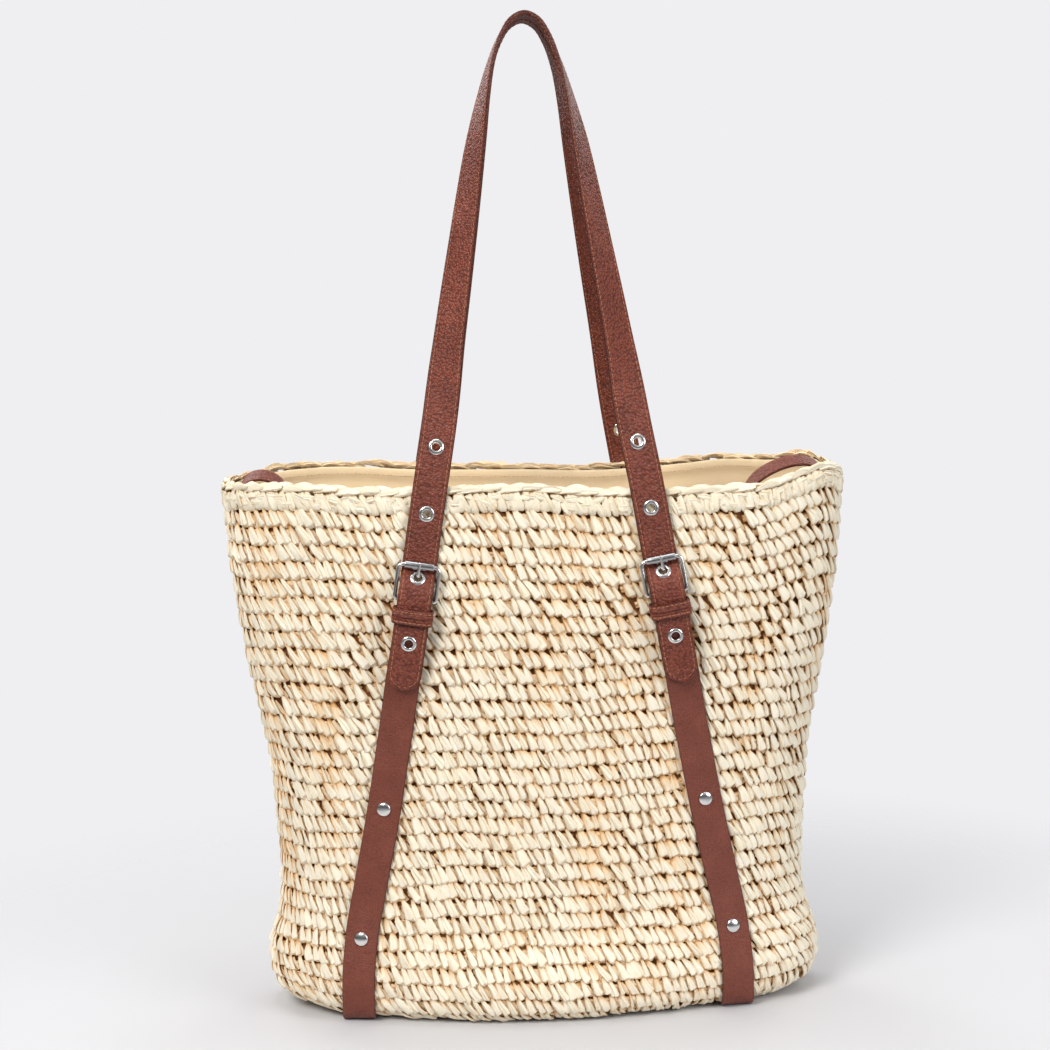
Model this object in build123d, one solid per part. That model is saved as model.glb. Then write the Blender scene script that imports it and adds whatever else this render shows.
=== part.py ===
"""Crocheted straw beach bag with a cloth lining, two twisted leather carrying handles and four roller buckles.

Frame: millimetres, +Z up, the front face looks along -Y, origin on the floor under the middle of the bag.
The bag stands on the two leather base straps that pass under its oval base.
"""
import math
import os

from build123d import *

# ---------------------------------------------------------------- driving dimensions
# side wall outline by height: (z, half width along X, half depth along Y, roundness exponent)
OUTLINE = [
    (2.6, 186.0, 60.0, 2.30),
    (6.0, 193.0, 66.5, 2.35),
    (14.0, 199.5, 71.5, 2.40),
    (30.0, 202.5, 74.0, 2.42),
    (46.0, 201.0, 73.0, 2.45),
    (70.0, 195.5, 70.5, 2.48),
    (102.0, 194.0, 69.5, 2.50),
    (136.0, 196.0, 69.5, 2.52),
    (175.0, 198.5, 70.0, 2.56),
    (226.0, 205.0, 70.5, 2.62),
    (287.0, 214.5, 71.0, 2.70),
    (325.0, 219.5, 70.5, 2.75),
    (366.0, 222.5, 70.0, 2.80),
]
WALL = 5.0                # crochet wall
FLOOR_Z = 2.6             # underside of the crochet, carried on the base straps
SIDES_TOP = 366.0
RIM = (223.5, 70.0, 2.80)  # half width, half depth, exponent of the rim
RIM_Z = (366.3, 378.4)
EDGE_Z = (378.7, 383.2)
LINING_GAP = 0.9
LINING_T = 1.2
LINING_TOP = 380.0

STRAP_W = 24.0            # every leather strap
BASE_T = 2.0              # single layer base strap
HANDLE_T = 3.2            # two layers sewn together
STRAP_OFF = 0.8           # air between base strap and crochet

BAR_POS = (83.5, 76.0, 330.5)   # centre of the front right roller, Y mirrored
BUCKLE_TILT = 9.5         # degrees, strap leans towards the middle
BAR_R = 1.6
ROLLER_R, ROLLER_LEN, ROLLER_FIT = 2.8, 20.4, 0.06
RAIL_X, RAIL_R, CORNER_R = 14.2, 1.5, 3.6
HEEL_CORNER_R = 2.0
HEEL_Z = -24.0            # heel bar below the roller
PRONG_R = 1.2
PRONG_FIT = 0.06
EYE = (2.9, 3.45, 5.5, 0.5)     # bore, barrel, flange radius, flange thickness
HOLE_R = 3.5
RIVET_Z = (62.8, 157.3)
RIVET_CAP_R, RIVET_SHANK_R = 5.0, 1.5
APEX_Z = 709.4

# centre line of one half handle: x, |y|, z, twist in degrees (0 faces front, 90 lies across the depth)
Y_TOP, Y_LOW = 14.0, 71.1
HALF_HANDLE = [
    (73.9, 388.0, 0), (67.4, 425.0, 0), (59.4, 478.0, 27), (52.6, 520.0, 36), (47.0, 554.0, 43),
    (41.5, 588.0, 50), (35.8, 622.0, 59), (30.0, 652.0, 73), (24.0, 676.0, 83), (17.0, 694.0, 88), (9.3, 705.2, 90),
]
# centre line of the base strap on the front right: x, z (y follows the wall)
STRAP_LINE = [
    (96.3, 256.5), (98.2, 245.7), (100.4, 232.0), (103.2, 215.0), (107.6, 190.0), (111.3, 169.0), (115.8, 145.0),
    (121.4, 118.0), (126.8, 92.0), (131.2, 71.0), (133.6, 54.0), (135.2, 38.0), (135.8, 26.0),
]
# closure strap band, x, z, right side then left side (given with positive x)
TAB_RIGHT = [(211.0, 345), (211.8, 373), (209.5, 384), (203.5, 391.5), (194, 395), (183, 394), (172, 388.5), (163, 380.5), (157, 371.5)]
TAB_LEFT = [(211.0, 345), (211.8, 374), (209.5, 382.5), (204.5, 388), (196, 389.6), (187.5, 387), (181, 380.5), (177.5, 371.5)]
TAB_T = 2.2
CLOSURE_LEN = 84.0

LEVELS = [2.6, 6.0, 14.0, 30.0, 46.0, 70.0, 102.0, 150.0, 226.0, 300.0, 366.0]   # heights of the wall's sections

os.makedirs("parts", exist_ok=True)
OUT = {}


# ---------------------------------------------------------------- helpers
def outline_at(z):
    """Half width, half depth and exponent of the outer wall at height z, by smooth interpolation."""
    zs = [r[0] for r in OUTLINE]
    z = min(max(z, zs[0]), zs[-1])
    i = max(0, min(len(zs) - 2, sum(1 for q in zs if q <= z) - 1))
    h = zs[i + 1] - zs[i]
    t = (z - zs[i]) / h
    out = []
    for k in (1, 2, 3):
        def slope(j):
            if j <= 0:
                return (OUTLINE[1][k] - OUTLINE[0][k]) / (zs[1] - zs[0])
            if j >= len(zs) - 1:
                return (OUTLINE[-1][k] - OUTLINE[-2][k]) / (zs[-1] - zs[-2])
            l = (OUTLINE[j][k] - OUTLINE[j - 1][k]) / (zs[j] - zs[j - 1])
            r = (OUTLINE[j + 1][k] - OUTLINE[j][k]) / (zs[j + 1] - zs[j])
            return 0.0 if l * r <= 0 else 2 * l * r / (l + r)
        p0, p1, m0, m1 = OUTLINE[i][k], OUTLINE[i + 1][k], slope(i) * h, slope(i + 1) * h
        out.append((2 * t**3 - 3 * t**2 + 1) * p0 + (t**3 - 2 * t**2 + t) * m0 + (-2 * t**3 + 3 * t**2) * p1 + (t**3 - t**2) * m1)
    return out


def oval_points(a, b, n, count=44):
    """Corners of a polygon on a superellipse, from (a, 0), closer together where it curves more."""
    dense = []
    m = 1440
    for i in range(m + 1):
        t = 2 * math.pi * i / m
        c, s = math.cos(t), math.sin(t)
        dense.append((math.copysign(abs(c) ** (2 / n), c) * a, math.copysign(abs(s) ** (2 / n), s) * b))
    ds = [math.dist(p, q) for p, q in zip(dense, dense[1:])]
    hd = [math.atan2(q[1] - p[1], q[0] - p[0]) for p, q in zip(dense, dense[1:])]
    total = sum(ds)
    run = [0.0]
    for i in range(m):
        turn = (hd[i] - hd[i - 1] + math.pi) % (2 * math.pi) - math.pi
        run.append(run[-1] + ds[i] / total + 1.4 * max(turn, 0.0) / (2 * math.pi))
    pts, j = [], 0
    for i in range(count):
        want = run[-1] * i / count
        while run[j + 1] < want:
            j += 1
        f = (want - run[j]) / max(run[j + 1] - run[j], 1e-12)
        pts.append((dense[j][0] + f * (dense[j + 1][0] - dense[j][0]), dense[j][1] + f * (dense[j + 1][1] - dense[j][1])))
    return pts


def corners(inset, z):
    a, b, n = outline_at(z)
    return [(x, y, z) for x, y in oval_points(a - inset, b - inset, n)]


def flat(*pts):
    return Face(Wire.make_polygon([Vector(*p) for p in pts], close=True))


def skin(rings):
    """Triangles between successive rings of corners."""
    faces = []
    for lo, hi in zip(rings, rings[1:]):
        k = len(lo)
        for j in range(k):
            p, q, r, s = lo[j], lo[(j + 1) % k], hi[(j + 1) % k], hi[j]
            faces += [flat(p, q, r), flat(p, r, s)]
    return faces


def wall_solid(outer, inner, bottom=False):
    """Closed shell between an outer and an inner stack of rings, open at the top, and with a floor if bottom is set."""
    faces = skin(outer) + skin(inner)
    k = len(outer[0])
    for j in range(k):
        n = (j + 1) % k
        faces.append(flat(outer[-1][j], outer[-1][n], inner[-1][n], inner[-1][j]))
        if not bottom:
            faces.append(flat(outer[0][j], outer[0][n], inner[0][n], inner[0][j]))
    if bottom:
        faces += [flat(*outer[0]), flat(*inner[0])]
    solid = Solid(Shell(faces))
    return solid


def band_face(points, t):
    """Polygon that follows a polyline with mitred corners, in the YZ plane."""
    left, right = [], []
    n = len(points)
    for i, p in enumerate(points):
        if i == 0:
            d = (points[1][0] - p[0], points[1][1] - p[1])
            d0 = d1 = d
        elif i == n - 1:
            d0 = d1 = (p[0] - points[i - 1][0], p[1] - points[i - 1][1])
        else:
            d0 = (p[0] - points[i - 1][0], p[1] - points[i - 1][1])
            d1 = (points[i + 1][0] - p[0], points[i + 1][1] - p[1])
        l0, l1 = math.hypot(*d0), math.hypot(*d1)
        n0, n1 = (-d0[1] / l0, d0[0] / l0), (-d1[1] / l1, d1[0] / l1)
        mx, my = n0[0] + n1[0], n0[1] + n1[1]
        s = (t / 2) / ((mx * n0[0] + my * n0[1]) or 1.0)
        left.append((p[0] + mx * s, p[1] + my * s))
        right.append((p[0] - mx * s, p[1] - my * s))
    ring = left + right[::-1]
    return make_face(Polyline(*[(0, y, z) for y, z in ring], close=True))


def band(points, t, width):
    return extrude(band_face(points, t), amount=width / 2, both=True, dir=(1, 0, 0))


def lathe(points):
    """Solid of revolution about Z from (radius, z) points."""
    return revolve(make_face(Polyline(*[(r, 0, z) for r, z in points], close=True)), axis=Axis.Z)


def rod(p, q, r):
    p, q = Vector(*p), Vector(*q)
    d = q - p
    return Plane(origin=(p + q) / 2, z_dir=d) * Cylinder(r, d.length)


def ball(p, r):
    return Pos(*p) * Sphere(r)


def one(shape):
    solids = shape.solids()
    return solids[0] if len(solids) == 1 else Compound(children=list(solids))


def along(origin, direction):
    return Plane(origin=Vector(*origin), z_dir=Vector(*direction))


def outward(x, y, z):
    """Horizontal outward normal of the wall at a point on its front right (y given positive)."""
    a, b, n = outline_at(z)
    gx, gy = abs(x) ** (n - 1) / a**n, abs(y) ** (n - 1) / b**n
    l = math.hypot(gx, gy)
    return gx / l, -gy / l


def wall_y(x, z, inset=0.0):
    a, b, n = outline_at(z)
    return (b - inset) * (1 - (abs(x) / (a - inset)) ** n) ** (1 / n)


def eyelet(t):
    bore, barrel, flange, ft = EYE
    g = 0.03
    h = t / 2 + g
    return lathe([(bore, -h - ft), (flange, -h - ft), (flange, -h), (barrel, -h), (barrel, h), (flange, h), (flange - 0.25, h + ft), (bore, h + ft)])


FLIP_X = Plane.YZ
FLIP_Y = Plane.XZ


def quarters(shape):
    """The four copies of a front right shape: front_right, front_left, back_right, back_left."""
    fr = shape
    fl = mirror(fr, about=FLIP_X)
    br = mirror(fr, about=FLIP_Y)
    bl = mirror(fl, about=FLIP_Y)
    return {"front_right": fr, "front_left": fl, "back_right": br, "back_left": bl}


# local buckle frame: X across the strap, -Y outward, Z up along the strap, origin at the roller
TILT = math.radians(BUCKLE_TILT)
BUCKLE = Location((BAR_POS[0], -BAR_POS[1], BAR_POS[2]), (0, -BUCKLE_TILT, 0))


def to_world(y, z, x=0.0):
    c, s = math.cos(TILT), math.sin(TILT)
    return (BAR_POS[0] + x * c - z * s, -BAR_POS[1] + y, BAR_POS[2] + x * s + z * c)


# ---------------------------------------------------------------- crochet bag and lining
levels = [z for z in LEVELS if z <= SIDES_TOP]
sides = wall_solid([corners(0.0, z) for z in levels], [corners(WALL, z) for z in levels])
base = extrude(flat(*corners(WALL + 0.5, FLOOR_Z)), amount=4.8, dir=(0, 0, 1))


def ring(z0, z1, a, b, n, wall):
    out = [[(x, y, z) for x, y in oval_points(a, b, n)] for z in (z0, z1)]
    inn = [[(x, y, z) for x, y in oval_points(a - wall, b - wall, n)] for z in (z0, z1)]
    return wall_solid(out, inn)


rim_band = ring(RIM_Z[0], RIM_Z[1], *RIM, WALL)
rim_edging = ring(EDGE_Z[0], EDGE_Z[1], *RIM, WALL + 0.4)

LIN_Z0 = 8.0
lin_out = [LIN_Z0] + [z for z in LEVELS if z > LIN_Z0 + 1] + [LINING_TOP]
lin_in = [LIN_Z0 + LINING_T] + [z for z in LEVELS if z > LIN_Z0 + 1] + [LINING_TOP]


def at(inset, z):
    a, b, n = outline_at(z)
    return [(x, y, z) for x, y in oval_points(a - inset, b - inset, n)]


lining = wall_solid([at(WALL + LINING_GAP, z) for z in lin_out], [at(WALL + LINING_GAP + LINING_T, z) for z in lin_in], bottom=True)
print("walls", sides.volume, lining.volume, rim_band.volume, sides.is_valid, lining.is_valid)

# ---------------------------------------------------------------- buckle hardware, local
top_bar = rod((-RAIL_X + CORNER_R, 0, 0), (RAIL_X - CORNER_R, 0, 0), BAR_R)
heel_bar = rod((-RAIL_X + HEEL_CORNER_R, 0, HEEL_Z), (RAIL_X - HEEL_CORNER_R, 0, HEEL_Z), RAIL_R)
rail = rod((RAIL_X, 0, HEEL_Z + HEEL_CORNER_R), (RAIL_X, 0, -CORNER_R), RAIL_R)
top_corner = revolve(Plane(origin=(RAIL_X, 0, -CORNER_R), z_dir=(0, 0, 1)) * Circle(RAIL_R), axis=Axis((RAIL_X - CORNER_R, 0, -CORNER_R), (0, -1, 0)), revolution_arc=90)
low_corner = revolve(Plane(origin=(RAIL_X, 0, HEEL_Z + HEEL_CORNER_R), z_dir=(0, 0, 1)) * Circle(RAIL_R), axis=Axis((RAIL_X - HEEL_CORNER_R, 0, HEEL_Z + HEEL_CORNER_R), (0, 1, 0)), revolution_arc=90)
frame_half = rail + top_corner + low_corner
frame = top_bar + heel_bar + frame_half + mirror(frame_half, about=Plane.YZ)
roller = Rot(0, 90, 0) * (Cylinder(ROLLER_R, ROLLER_LEN) - Cylinder(BAR_R + ROLLER_FIT, ROLLER_LEN + 2))

# tail of the handle strap: behind the roller, over the heel bar, down over the base strap
TAIL = [(4.9, 4.0), (4.7, -2.5), (-4.1, -14.5), (-5.3, -19.0), (-5.4, -24.5), (-4.35, -34.0), (-3.95, -48.0), (-2.25, -60.0), (0.1, -75.0), (1.6, -88.0)]


def on_band(i, run):
    """Point a distance along run i of the strap end, and the outward direction there, as (y, z)."""
    p, q = TAIL[i], TAIL[i + 1]
    l = math.dist(p, q)
    t = ((q[0] - p[0]) / l, (q[1] - p[1]) / l)
    return (p[0] + t[0] * run, p[1] + t[1] * run), (t[1], -t[0])


EYE_UP, EYE_DIR = on_band(1, 8.3)       # prong eyelet
EYE_LOW, LOW_DIR = on_band(6, 6.05)     # eyelet of the free end
tail = band(TAIL, HANDLE_T, STRAP_W)
tip = Pos(0, 0, -34) * Box(STRAP_W + 1, 40, 84) + Pos(0, 0, -76) * Rot(90, 0, 0) * Cylinder(STRAP_W / 2, 40)
tail = tail & tip
eye_hole = Cylinder(HOLE_R, 12)
up_plane = along((0, EYE_UP[0], EYE_UP[1]), (0, EYE_DIR[0], EYE_DIR[1]))
low_plane = along((0, EYE_LOW[0], EYE_LOW[1]), (0, LOW_DIR[0], LOW_DIR[1]))
tail = tail - up_plane * eye_hole - low_plane * eye_hole
eye_a = up_plane * eyelet(HANDLE_T)
eye_b = low_plane * eyelet(HANDLE_T)

# prong: ring on the heel bar, shank behind the strap, out through the eyelet and over the roller
B = (EYE_UP[0] - 4.6 * EYE_DIR[0], EYE_UP[1] - 4.6 * EYE_DIR[1])
C = (EYE_UP[0] + 4.1 * EYE_DIR[0], EYE_UP[1] + 4.1 * EYE_DIR[1])
D = (-4.55, 2.4)
ab = math.hypot(B[0], B[1] - HEEL_Z)
A1 = (B[0] / ab * 2.1, HEEL_Z + (B[1] - HEEL_Z) / ab * 2.1)
prong = Pos(0, 0, HEEL_Z) * Rot(0, 90, 0) * (Cylinder(2.8, 3.0) - Cylinder(RAIL_R + PRONG_FIT, 5.0))
prong = prong + rod((0, *A1), (0, *B), PRONG_R) + ball((0, *B), PRONG_R) + rod((0, *B), (0, *C), PRONG_R) + ball((0, *C), PRONG_R) + rod((0, *C), (0, *D), PRONG_R) + ball((0, *D), PRONG_R)

# keeper loop
keeper = Pos(0, (-8.9 + 5.2) / 2, -34.5) * (Box(2 * 14.3, 14.1, 16.2) - Pos(0, 0, 0) * Box(2 * 12.5, 10.5, 20))

# fold of the base strap round the heel bar, slotted for the prong
wrap = Pos(0, 0, HEEL_Z) * Rot(0, 90, 0) * (Cylinder(RAIL_R + 0.05 + BASE_T, STRAP_W) - Cylinder(RAIL_R + 0.05, STRAP_W + 2))
wrap = wrap & (Pos(0, 0, HEEL_Z + 5) * Box(40, 20, 10))
mid = RAIL_R + 0.05 + BASE_T / 2
FRONT_LAYER = [(-mid, HEEL_Z), (-1.2, -34.0), (-0.6, -48.0), (1.2, -60.0)]
BACK_LAYER = [(mid, HEEL_Z), (0.8, -34.0), (1.4, -48.0), (1.75, -50.5)]
fold = wrap + band(FRONT_LAYER, BASE_T, STRAP_W) + band(BACK_LAYER, BASE_T, STRAP_W)
fold = fold - Pos(0, 0, -24.5) * Box(5.8, 12, 12)
# the bar and ring pass the fold freely
fold = fold - Pos(0, 0, HEEL_Z) * Rot(0, 90, 0) * Cylinder(RAIL_R + 0.05, 40)

HW = {}
for kind, shape in (("frame", frame), ("roller", roller), ("prong", prong), ("keeper", keeper), ("tail", tail)):
    HW[kind] = quarters(BUCKLE * shape)
FOLD = BUCKLE * fold
EYES = [quarters(BUCKLE * e) for e in (eye_a, eye_b)]


# ---------------------------------------------------------------- base straps
def section(p, t, w, width, thick):
    """Rectangle across a strap: centre p, direction t, wanted width direction w."""
    T = Vector(*t).normalized()
    W = Vector(*w)
    W = (W - T * W.dot(T)).normalized()
    return Plane(origin=Vector(*p), x_dir=W, z_dir=T) * Rectangle(width, thick)


path, wdir = [to_world(1.2, -60.0)], [(math.cos(TILT), 0, math.sin(TILT))]
for x, z in STRAP_LINE:
    if z > 240:
        y = -{256.5: 72.4, 245.7: 71.1}[z]
        nx, ny = outward(x, wall_y(x, z), z)
        f = 0.5 if z > 250 else 0.75
        nx, ny = nx * f, -math.sqrt(1 - (nx * f) ** 2)
    else:
        ys = wall_y(x, z)
        nx, ny = outward(x, ys, z)
        off = STRAP_OFF + BASE_T / 2
        y = -(ys + off * abs(ny)) - (0.35 if z > 225 else 0.0)
        x = x + off * nx * 0.0
        y -= off * (1 / abs(ny) - abs(ny))
    path.append((x, y, z))
    wdir.append((-ny, nx, 0))
ang = math.atan2(wdir[-1][1], wdir[-1][0])
for x, y, z, f in ((136.0, -60.6, 15.5, 0.95), (136.0, -58.4, 8.6, 0.8), (136.0, -53.8, 3.4, 0.5), (136.0, -46.5, 1.0, 0.12), (136.0, -30.0, 1.0, 0.0), (136.0, 0.0, 1.0, 0.0)):
    path.append((x, y, z))
    wdir.append((math.cos(ang * f), math.sin(ang * f), 0))
secs = []
for i, p in enumerate(path):
    if i == 0:
        a0, a1 = to_world(-0.6, -48.0), to_world(1.2, -60.0)
        t = [a1[k] - a0[k] for k in range(3)]
    elif i == len(path) - 1:
        t = [0, 1, 0]
    else:
        d0 = [path[i][k] - path[i - 1][k] for k in range(3)]
        d1 = [path[i + 1][k] - path[i][k] for k in range(3)]
        l0, l1 = math.hypot(*d0), math.hypot(*d1)
        t = [d0[k] / l0 + d1[k] / l1 for k in range(3)]
    secs.append(section(p, t, wdir[i], STRAP_W, BASE_T))
strap_run = loft(secs, ruled=True)
half = FOLD + strap_run


def path_point(z):
    """Centre, outward direction of the base strap at height z (front right)."""
    for p, q, w in zip(path, path[1:], wdir[1:]):
        if q[2] <= z <= p[2]:
            f = (p[2] - z) / (p[2] - q[2])
            c = [p[k] + f * (q[k] - p[k]) for k in range(3)]
            T = (Vector(*q) - Vector(*p)).normalized()
            W = Vector(*w)
            W = (W - T * W.dot(T)).normalized()
            return c, W.cross(T) * (1 if W.cross(T).Y < 0 else -1)


def dome(r, low, high):
    """Domed cap profile on the Z axis, base at low."""
    return [(0, low), (r, low), (r, low + 0.5), (r * 0.86, low + high * 0.62), (r * 0.62, low + high * 0.85), (r * 0.3, low + high * 0.97), (0, low + high)]


rivets, burrs, drills = [], [], []
for z in RIVET_Z:
    c, nrm = path_point(z)
    pl = Plane(origin=Vector(*c), z_dir=nrm)
    cap = lathe([(0, BASE_T / 2 + 0.05)] + dome(RIVET_CAP_R, BASE_T / 2 + 0.05, 2.2)[1:])
    shank = Pos(0, 0, -5.0) * Cylinder(RIVET_SHANK_R, 12.4)
    rivets.append(pl * (cap + shank))
    washer = Pos(0, 0, -9.75) * (Cylinder(4.5, 1.0) - Cylinder(RIVET_SHANK_R + 0.05, 2))
    burrs.append(pl * washer)
    drills.append(pl * (Pos(0, 0, -4) * Cylinder(RIVET_SHANK_R + 0.2, 16)))
for d in drills:
    half = half - d
holes = Compound(children=[q.solid() for d in drills for q in quarters(d).values()])
sides = sides - holes
lining = lining - holes
right_strap = half + mirror(half, about=FLIP_Y)
left_strap = mirror(right_strap, about=FLIP_X)


# ---------------------------------------------------------------- handles
def lean_y(z):
    return -(Y_LOW + (Y_TOP - Y_LOW) * max(0.0, z - 388.0) / (APEX_Z - 388.0))


start = to_world(4.9, 9.5)
pts = [(start[0], start[1], start[2], 0)] + [(x, lean_y(z), z, tw) for x, z, tw in HALF_HANDLE]
full = pts + [(0.0, lean_y(APEX_Z), APEX_Z, 90)] + [(-x, y, z, tw) for x, y, z, tw in pts[::-1]]
hsecs = []
for i, (x, y, z, tw) in enumerate(full):
    if i in (0, len(full) - 1):
        j = 1 if i == 0 else len(full) - 2
        s = 1 if i == 0 else -1
        t = [(full[j][k] - full[i][k]) * s for k in range(3)]
    else:
        d0 = [full[i][k] - full[i - 1][k] for k in range(3)]
        d1 = [full[i + 1][k] - full[i][k] for k in range(3)]
        l0, l1 = math.hypot(*d0), math.hypot(*d1)
        t = [d0[k] / l0 + d1[k] / l1 for k in range(3)]
    T = Vector(*t).normalized()
    front = Vector(0, -1, 0)
    front = (front - T * front.dot(T)).normalized()
    side = T.cross(front)
    side = side if (side.X * (1 if x > 0 else -1) > 0 or (x == 0 and side.Z > 0)) else side * -1
    if x == 0:
        side = Vector(0, 0, 1)
    a = math.radians(tw)
    nrm = front * math.cos(a) + side * math.sin(a)
    W = T.cross(nrm)
    hsecs.append(Plane(origin=Vector(x, y, z), x_dir=W, z_dir=T) * Rectangle(STRAP_W, HANDLE_T))
front_handle = loft(hsecs, ruled=True)
eyes = []
for z in (366.0, 411.5):
    for p, q in zip(pts, pts[1:]):
        if p[2] <= z <= q[2]:
            f = (z - p[2]) / (q[2] - p[2])
            c = Vector(*[p[k] + f * (q[k] - p[k]) for k in range(3)])
            T = (Vector(*q[:3]) - Vector(*p[:3])).normalized()
            nn = Vector(0, -1, 0)
            nn = (nn - T * nn.dot(T)).normalized()
            for pl in (Plane(origin=c, z_dir=nn),):
                front_handle = front_handle - pl * Cylinder(HOLE_R, 12) - mirror(pl * Cylinder(HOLE_R, 12), about=FLIP_X)
                e = pl * eyelet(HANDLE_T)
                eyes += [e, mirror(e, about=FLIP_X)]
            break
back_handle = mirror(front_handle, about=FLIP_Y)


# ---------------------------------------------------------------- closure straps inside the rim
def closure(points, sign):
    face = band_face([(x, z) for x, z in points], TAB_T)
    tab = extrude(face, amount=STRAP_W / 2, both=True, dir=(1, 0, 0))      # built in YZ, turned to XZ
    tab = Rot(0, 0, -90) * tab
    x, z = points[-1]
    hang_top = z - 3.2
    hang = Pos(x, 0, hang_top - CLOSURE_LEN / 2) * Box(TAB_T, STRAP_W, CLOSURE_LEN)
    low = Pos(x, 0, hang_top - CLOSURE_LEN) * Rot(0, 90, 0) * Cylinder(STRAP_W / 2, TAB_T)
    hang = hang + low
    hang = hang - Pos(x, 0, hang_top - CLOSURE_LEN) * Rot(0, 90, 0) * Cylinder(2.1, 10)
    snap_z = hang_top - CLOSURE_LEN
    return tab, hang, (x, snap_z)


def snap(x, z, stud):
    """Snap half set in the strap: face towards the middle of the bag, cap on the other side."""
    h = TAB_T / 2 + 0.05
    if stud:
        prof = [(0, -h - 0.9), (5.5, -h - 0.9), (5.5, -h), (2.0, -h), (2.0, h), (6.0, h), (6.0, h + 0.9), (2.6, h + 1.1), (2.2, h + 1.9), (2.6, h + 3.0), (1.8, h + 3.6), (0, h + 3.6)]
    else:
        prof = [(0, -h - 0.9), (5.5, -h - 0.9), (5.5, -h), (2.0, -h), (2.0, h), (6.0, h), (6.0, h + 2.6), (3.0, h + 2.6), (3.0, h + 0.6), (0, h + 0.6)]
    return Plane(origin=(x, 0, z), x_dir=(0, 1, 0), z_dir=(-1, 0, 0)) * lathe(prof)


r_tab, r_hang, (rx, rz) = closure(TAB_RIGHT, 1)
l_tab, l_hang, (lx, lz) = closure(TAB_LEFT, 1)
socket = snap(rx, rz, False)
stud = mirror(snap(lx, lz, True), about=FLIP_X)
l_tab, l_hang = mirror(l_tab, about=FLIP_X), mirror(l_hang, about=FLIP_X)

# ---------------------------------------------------------------- write
print("eyelets", EYE_UP, EYE_DIR, EYE_LOW, LOW_DIR)
OUT["crochet_sides"] = sides
OUT["crochet_base"] = base
OUT["rim_band"] = rim_band
OUT["rim_edging"] = rim_edging
OUT["lining"] = lining
OUT["right_base_strap"] = right_strap
OUT["left_base_strap"] = left_strap
OUT["front_handle"] = front_handle
OUT["back_handle"] = back_handle
for where in ("front_left", "front_right", "back_left", "back_right"):
    OUT[f"{where}_handle_end"] = HW["tail"][where]
    OUT[f"{where}_buckle_frame"] = HW["frame"][where]
    OUT[f"{where}_buckle_roller"] = HW["roller"][where]
    OUT[f"{where}_buckle_prong"] = HW["prong"][where]
    OUT[f"{where}_keeper"] = HW["keeper"][where]
OUT["front_handle_eyelets"] = Compound(children=[e.solid() for e in eyes])
OUT["back_handle_eyelets"] = Compound(children=[mirror(e, about=FLIP_Y).solid() for e in eyes])
OUT["handle_end_eyelets"] = Compound(children=[e.solid() for q in EYES for e in q.values()])
OUT["strap_rivets"] = Compound(children=[s.solid() for r in rivets for s in quarters(r).values()])
OUT["rivet_burrs"] = Compound(children=[s.solid() for r in burrs for s in quarters(r).values()])
OUT["right_closure_tab"] = r_tab
OUT["left_closure_tab"] = l_tab
OUT["right_closure_strap"] = r_hang
OUT["left_closure_strap"] = l_hang
OUT["snap_socket"] = socket
OUT["snap_stud"] = stud

for name, shape in OUT.items():
    export_step(shape if isinstance(shape, Compound) and len(shape.solids()) > 1 else one(shape), f"parts/{name}.step")
for i, p in enumerate(path):
    print("strap", i, [round(v, 1) for v in p])
print("prong bend", B, C, "hinge", to_world(0, HEEL_Z))
for z in RIVET_Z:
    print("rivet", z, path_point(z))
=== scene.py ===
"""Crocheted straw beach bag: the visual model, in metres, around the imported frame. Sizes below are millimetres."""

import math

import bmesh
import bpy
import numpy as np
from mathutils import Matrix, Vector


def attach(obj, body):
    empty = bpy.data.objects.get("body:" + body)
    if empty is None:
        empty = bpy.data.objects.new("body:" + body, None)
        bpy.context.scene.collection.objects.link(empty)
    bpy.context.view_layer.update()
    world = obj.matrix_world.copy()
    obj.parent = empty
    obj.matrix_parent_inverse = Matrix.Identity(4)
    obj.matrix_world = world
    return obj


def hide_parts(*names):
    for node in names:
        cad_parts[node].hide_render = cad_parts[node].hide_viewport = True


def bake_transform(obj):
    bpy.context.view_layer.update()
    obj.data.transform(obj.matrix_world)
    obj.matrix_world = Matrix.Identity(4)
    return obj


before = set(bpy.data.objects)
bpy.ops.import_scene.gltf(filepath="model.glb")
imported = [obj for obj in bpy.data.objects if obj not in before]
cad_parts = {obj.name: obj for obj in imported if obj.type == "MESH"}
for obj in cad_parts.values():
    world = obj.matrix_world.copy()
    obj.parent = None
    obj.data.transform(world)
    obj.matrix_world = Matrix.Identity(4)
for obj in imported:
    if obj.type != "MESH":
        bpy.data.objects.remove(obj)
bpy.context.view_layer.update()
MM = 0.001
TAU = 2 * math.pi

# ---------------------------------------------------------------- camera, at the photograph's viewing angle
YAW, PITCH, ROLL = math.radians(2.41), math.radians(6.53), math.radians(1.36)
fw = np.array([math.sin(YAW) * math.cos(PITCH), math.cos(YAW) * math.cos(PITCH), -math.sin(PITCH)])
rt = np.array([math.cos(YAW), -math.sin(YAW), 0.0])
up = np.cross(rt, fw)
c_r = rt * math.cos(ROLL) - up * math.sin(ROLL)
c_u = rt * math.sin(ROLL) + up * math.cos(ROLL)
cam_data = bpy.data.cameras.new("camera")
cam = bpy.data.objects.new("camera", cam_data)
bpy.context.scene.collection.objects.link(cam)
cam_data.sensor_width = 36.0
cam_data.lens = 36.0 * 2044.0 / 1050.0
cam_data.clip_start, cam_data.clip_end = 0.05, 50.0
cam.matrix_world = Matrix(((c_r[0], c_u[0], -fw[0], -0.0689), (c_r[1], c_u[1], -fw[1], -1.474), (c_r[2], c_u[2], -fw[2], 0.517), (0, 0, 0, 1)))
bpy.context.scene.camera = cam

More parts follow.
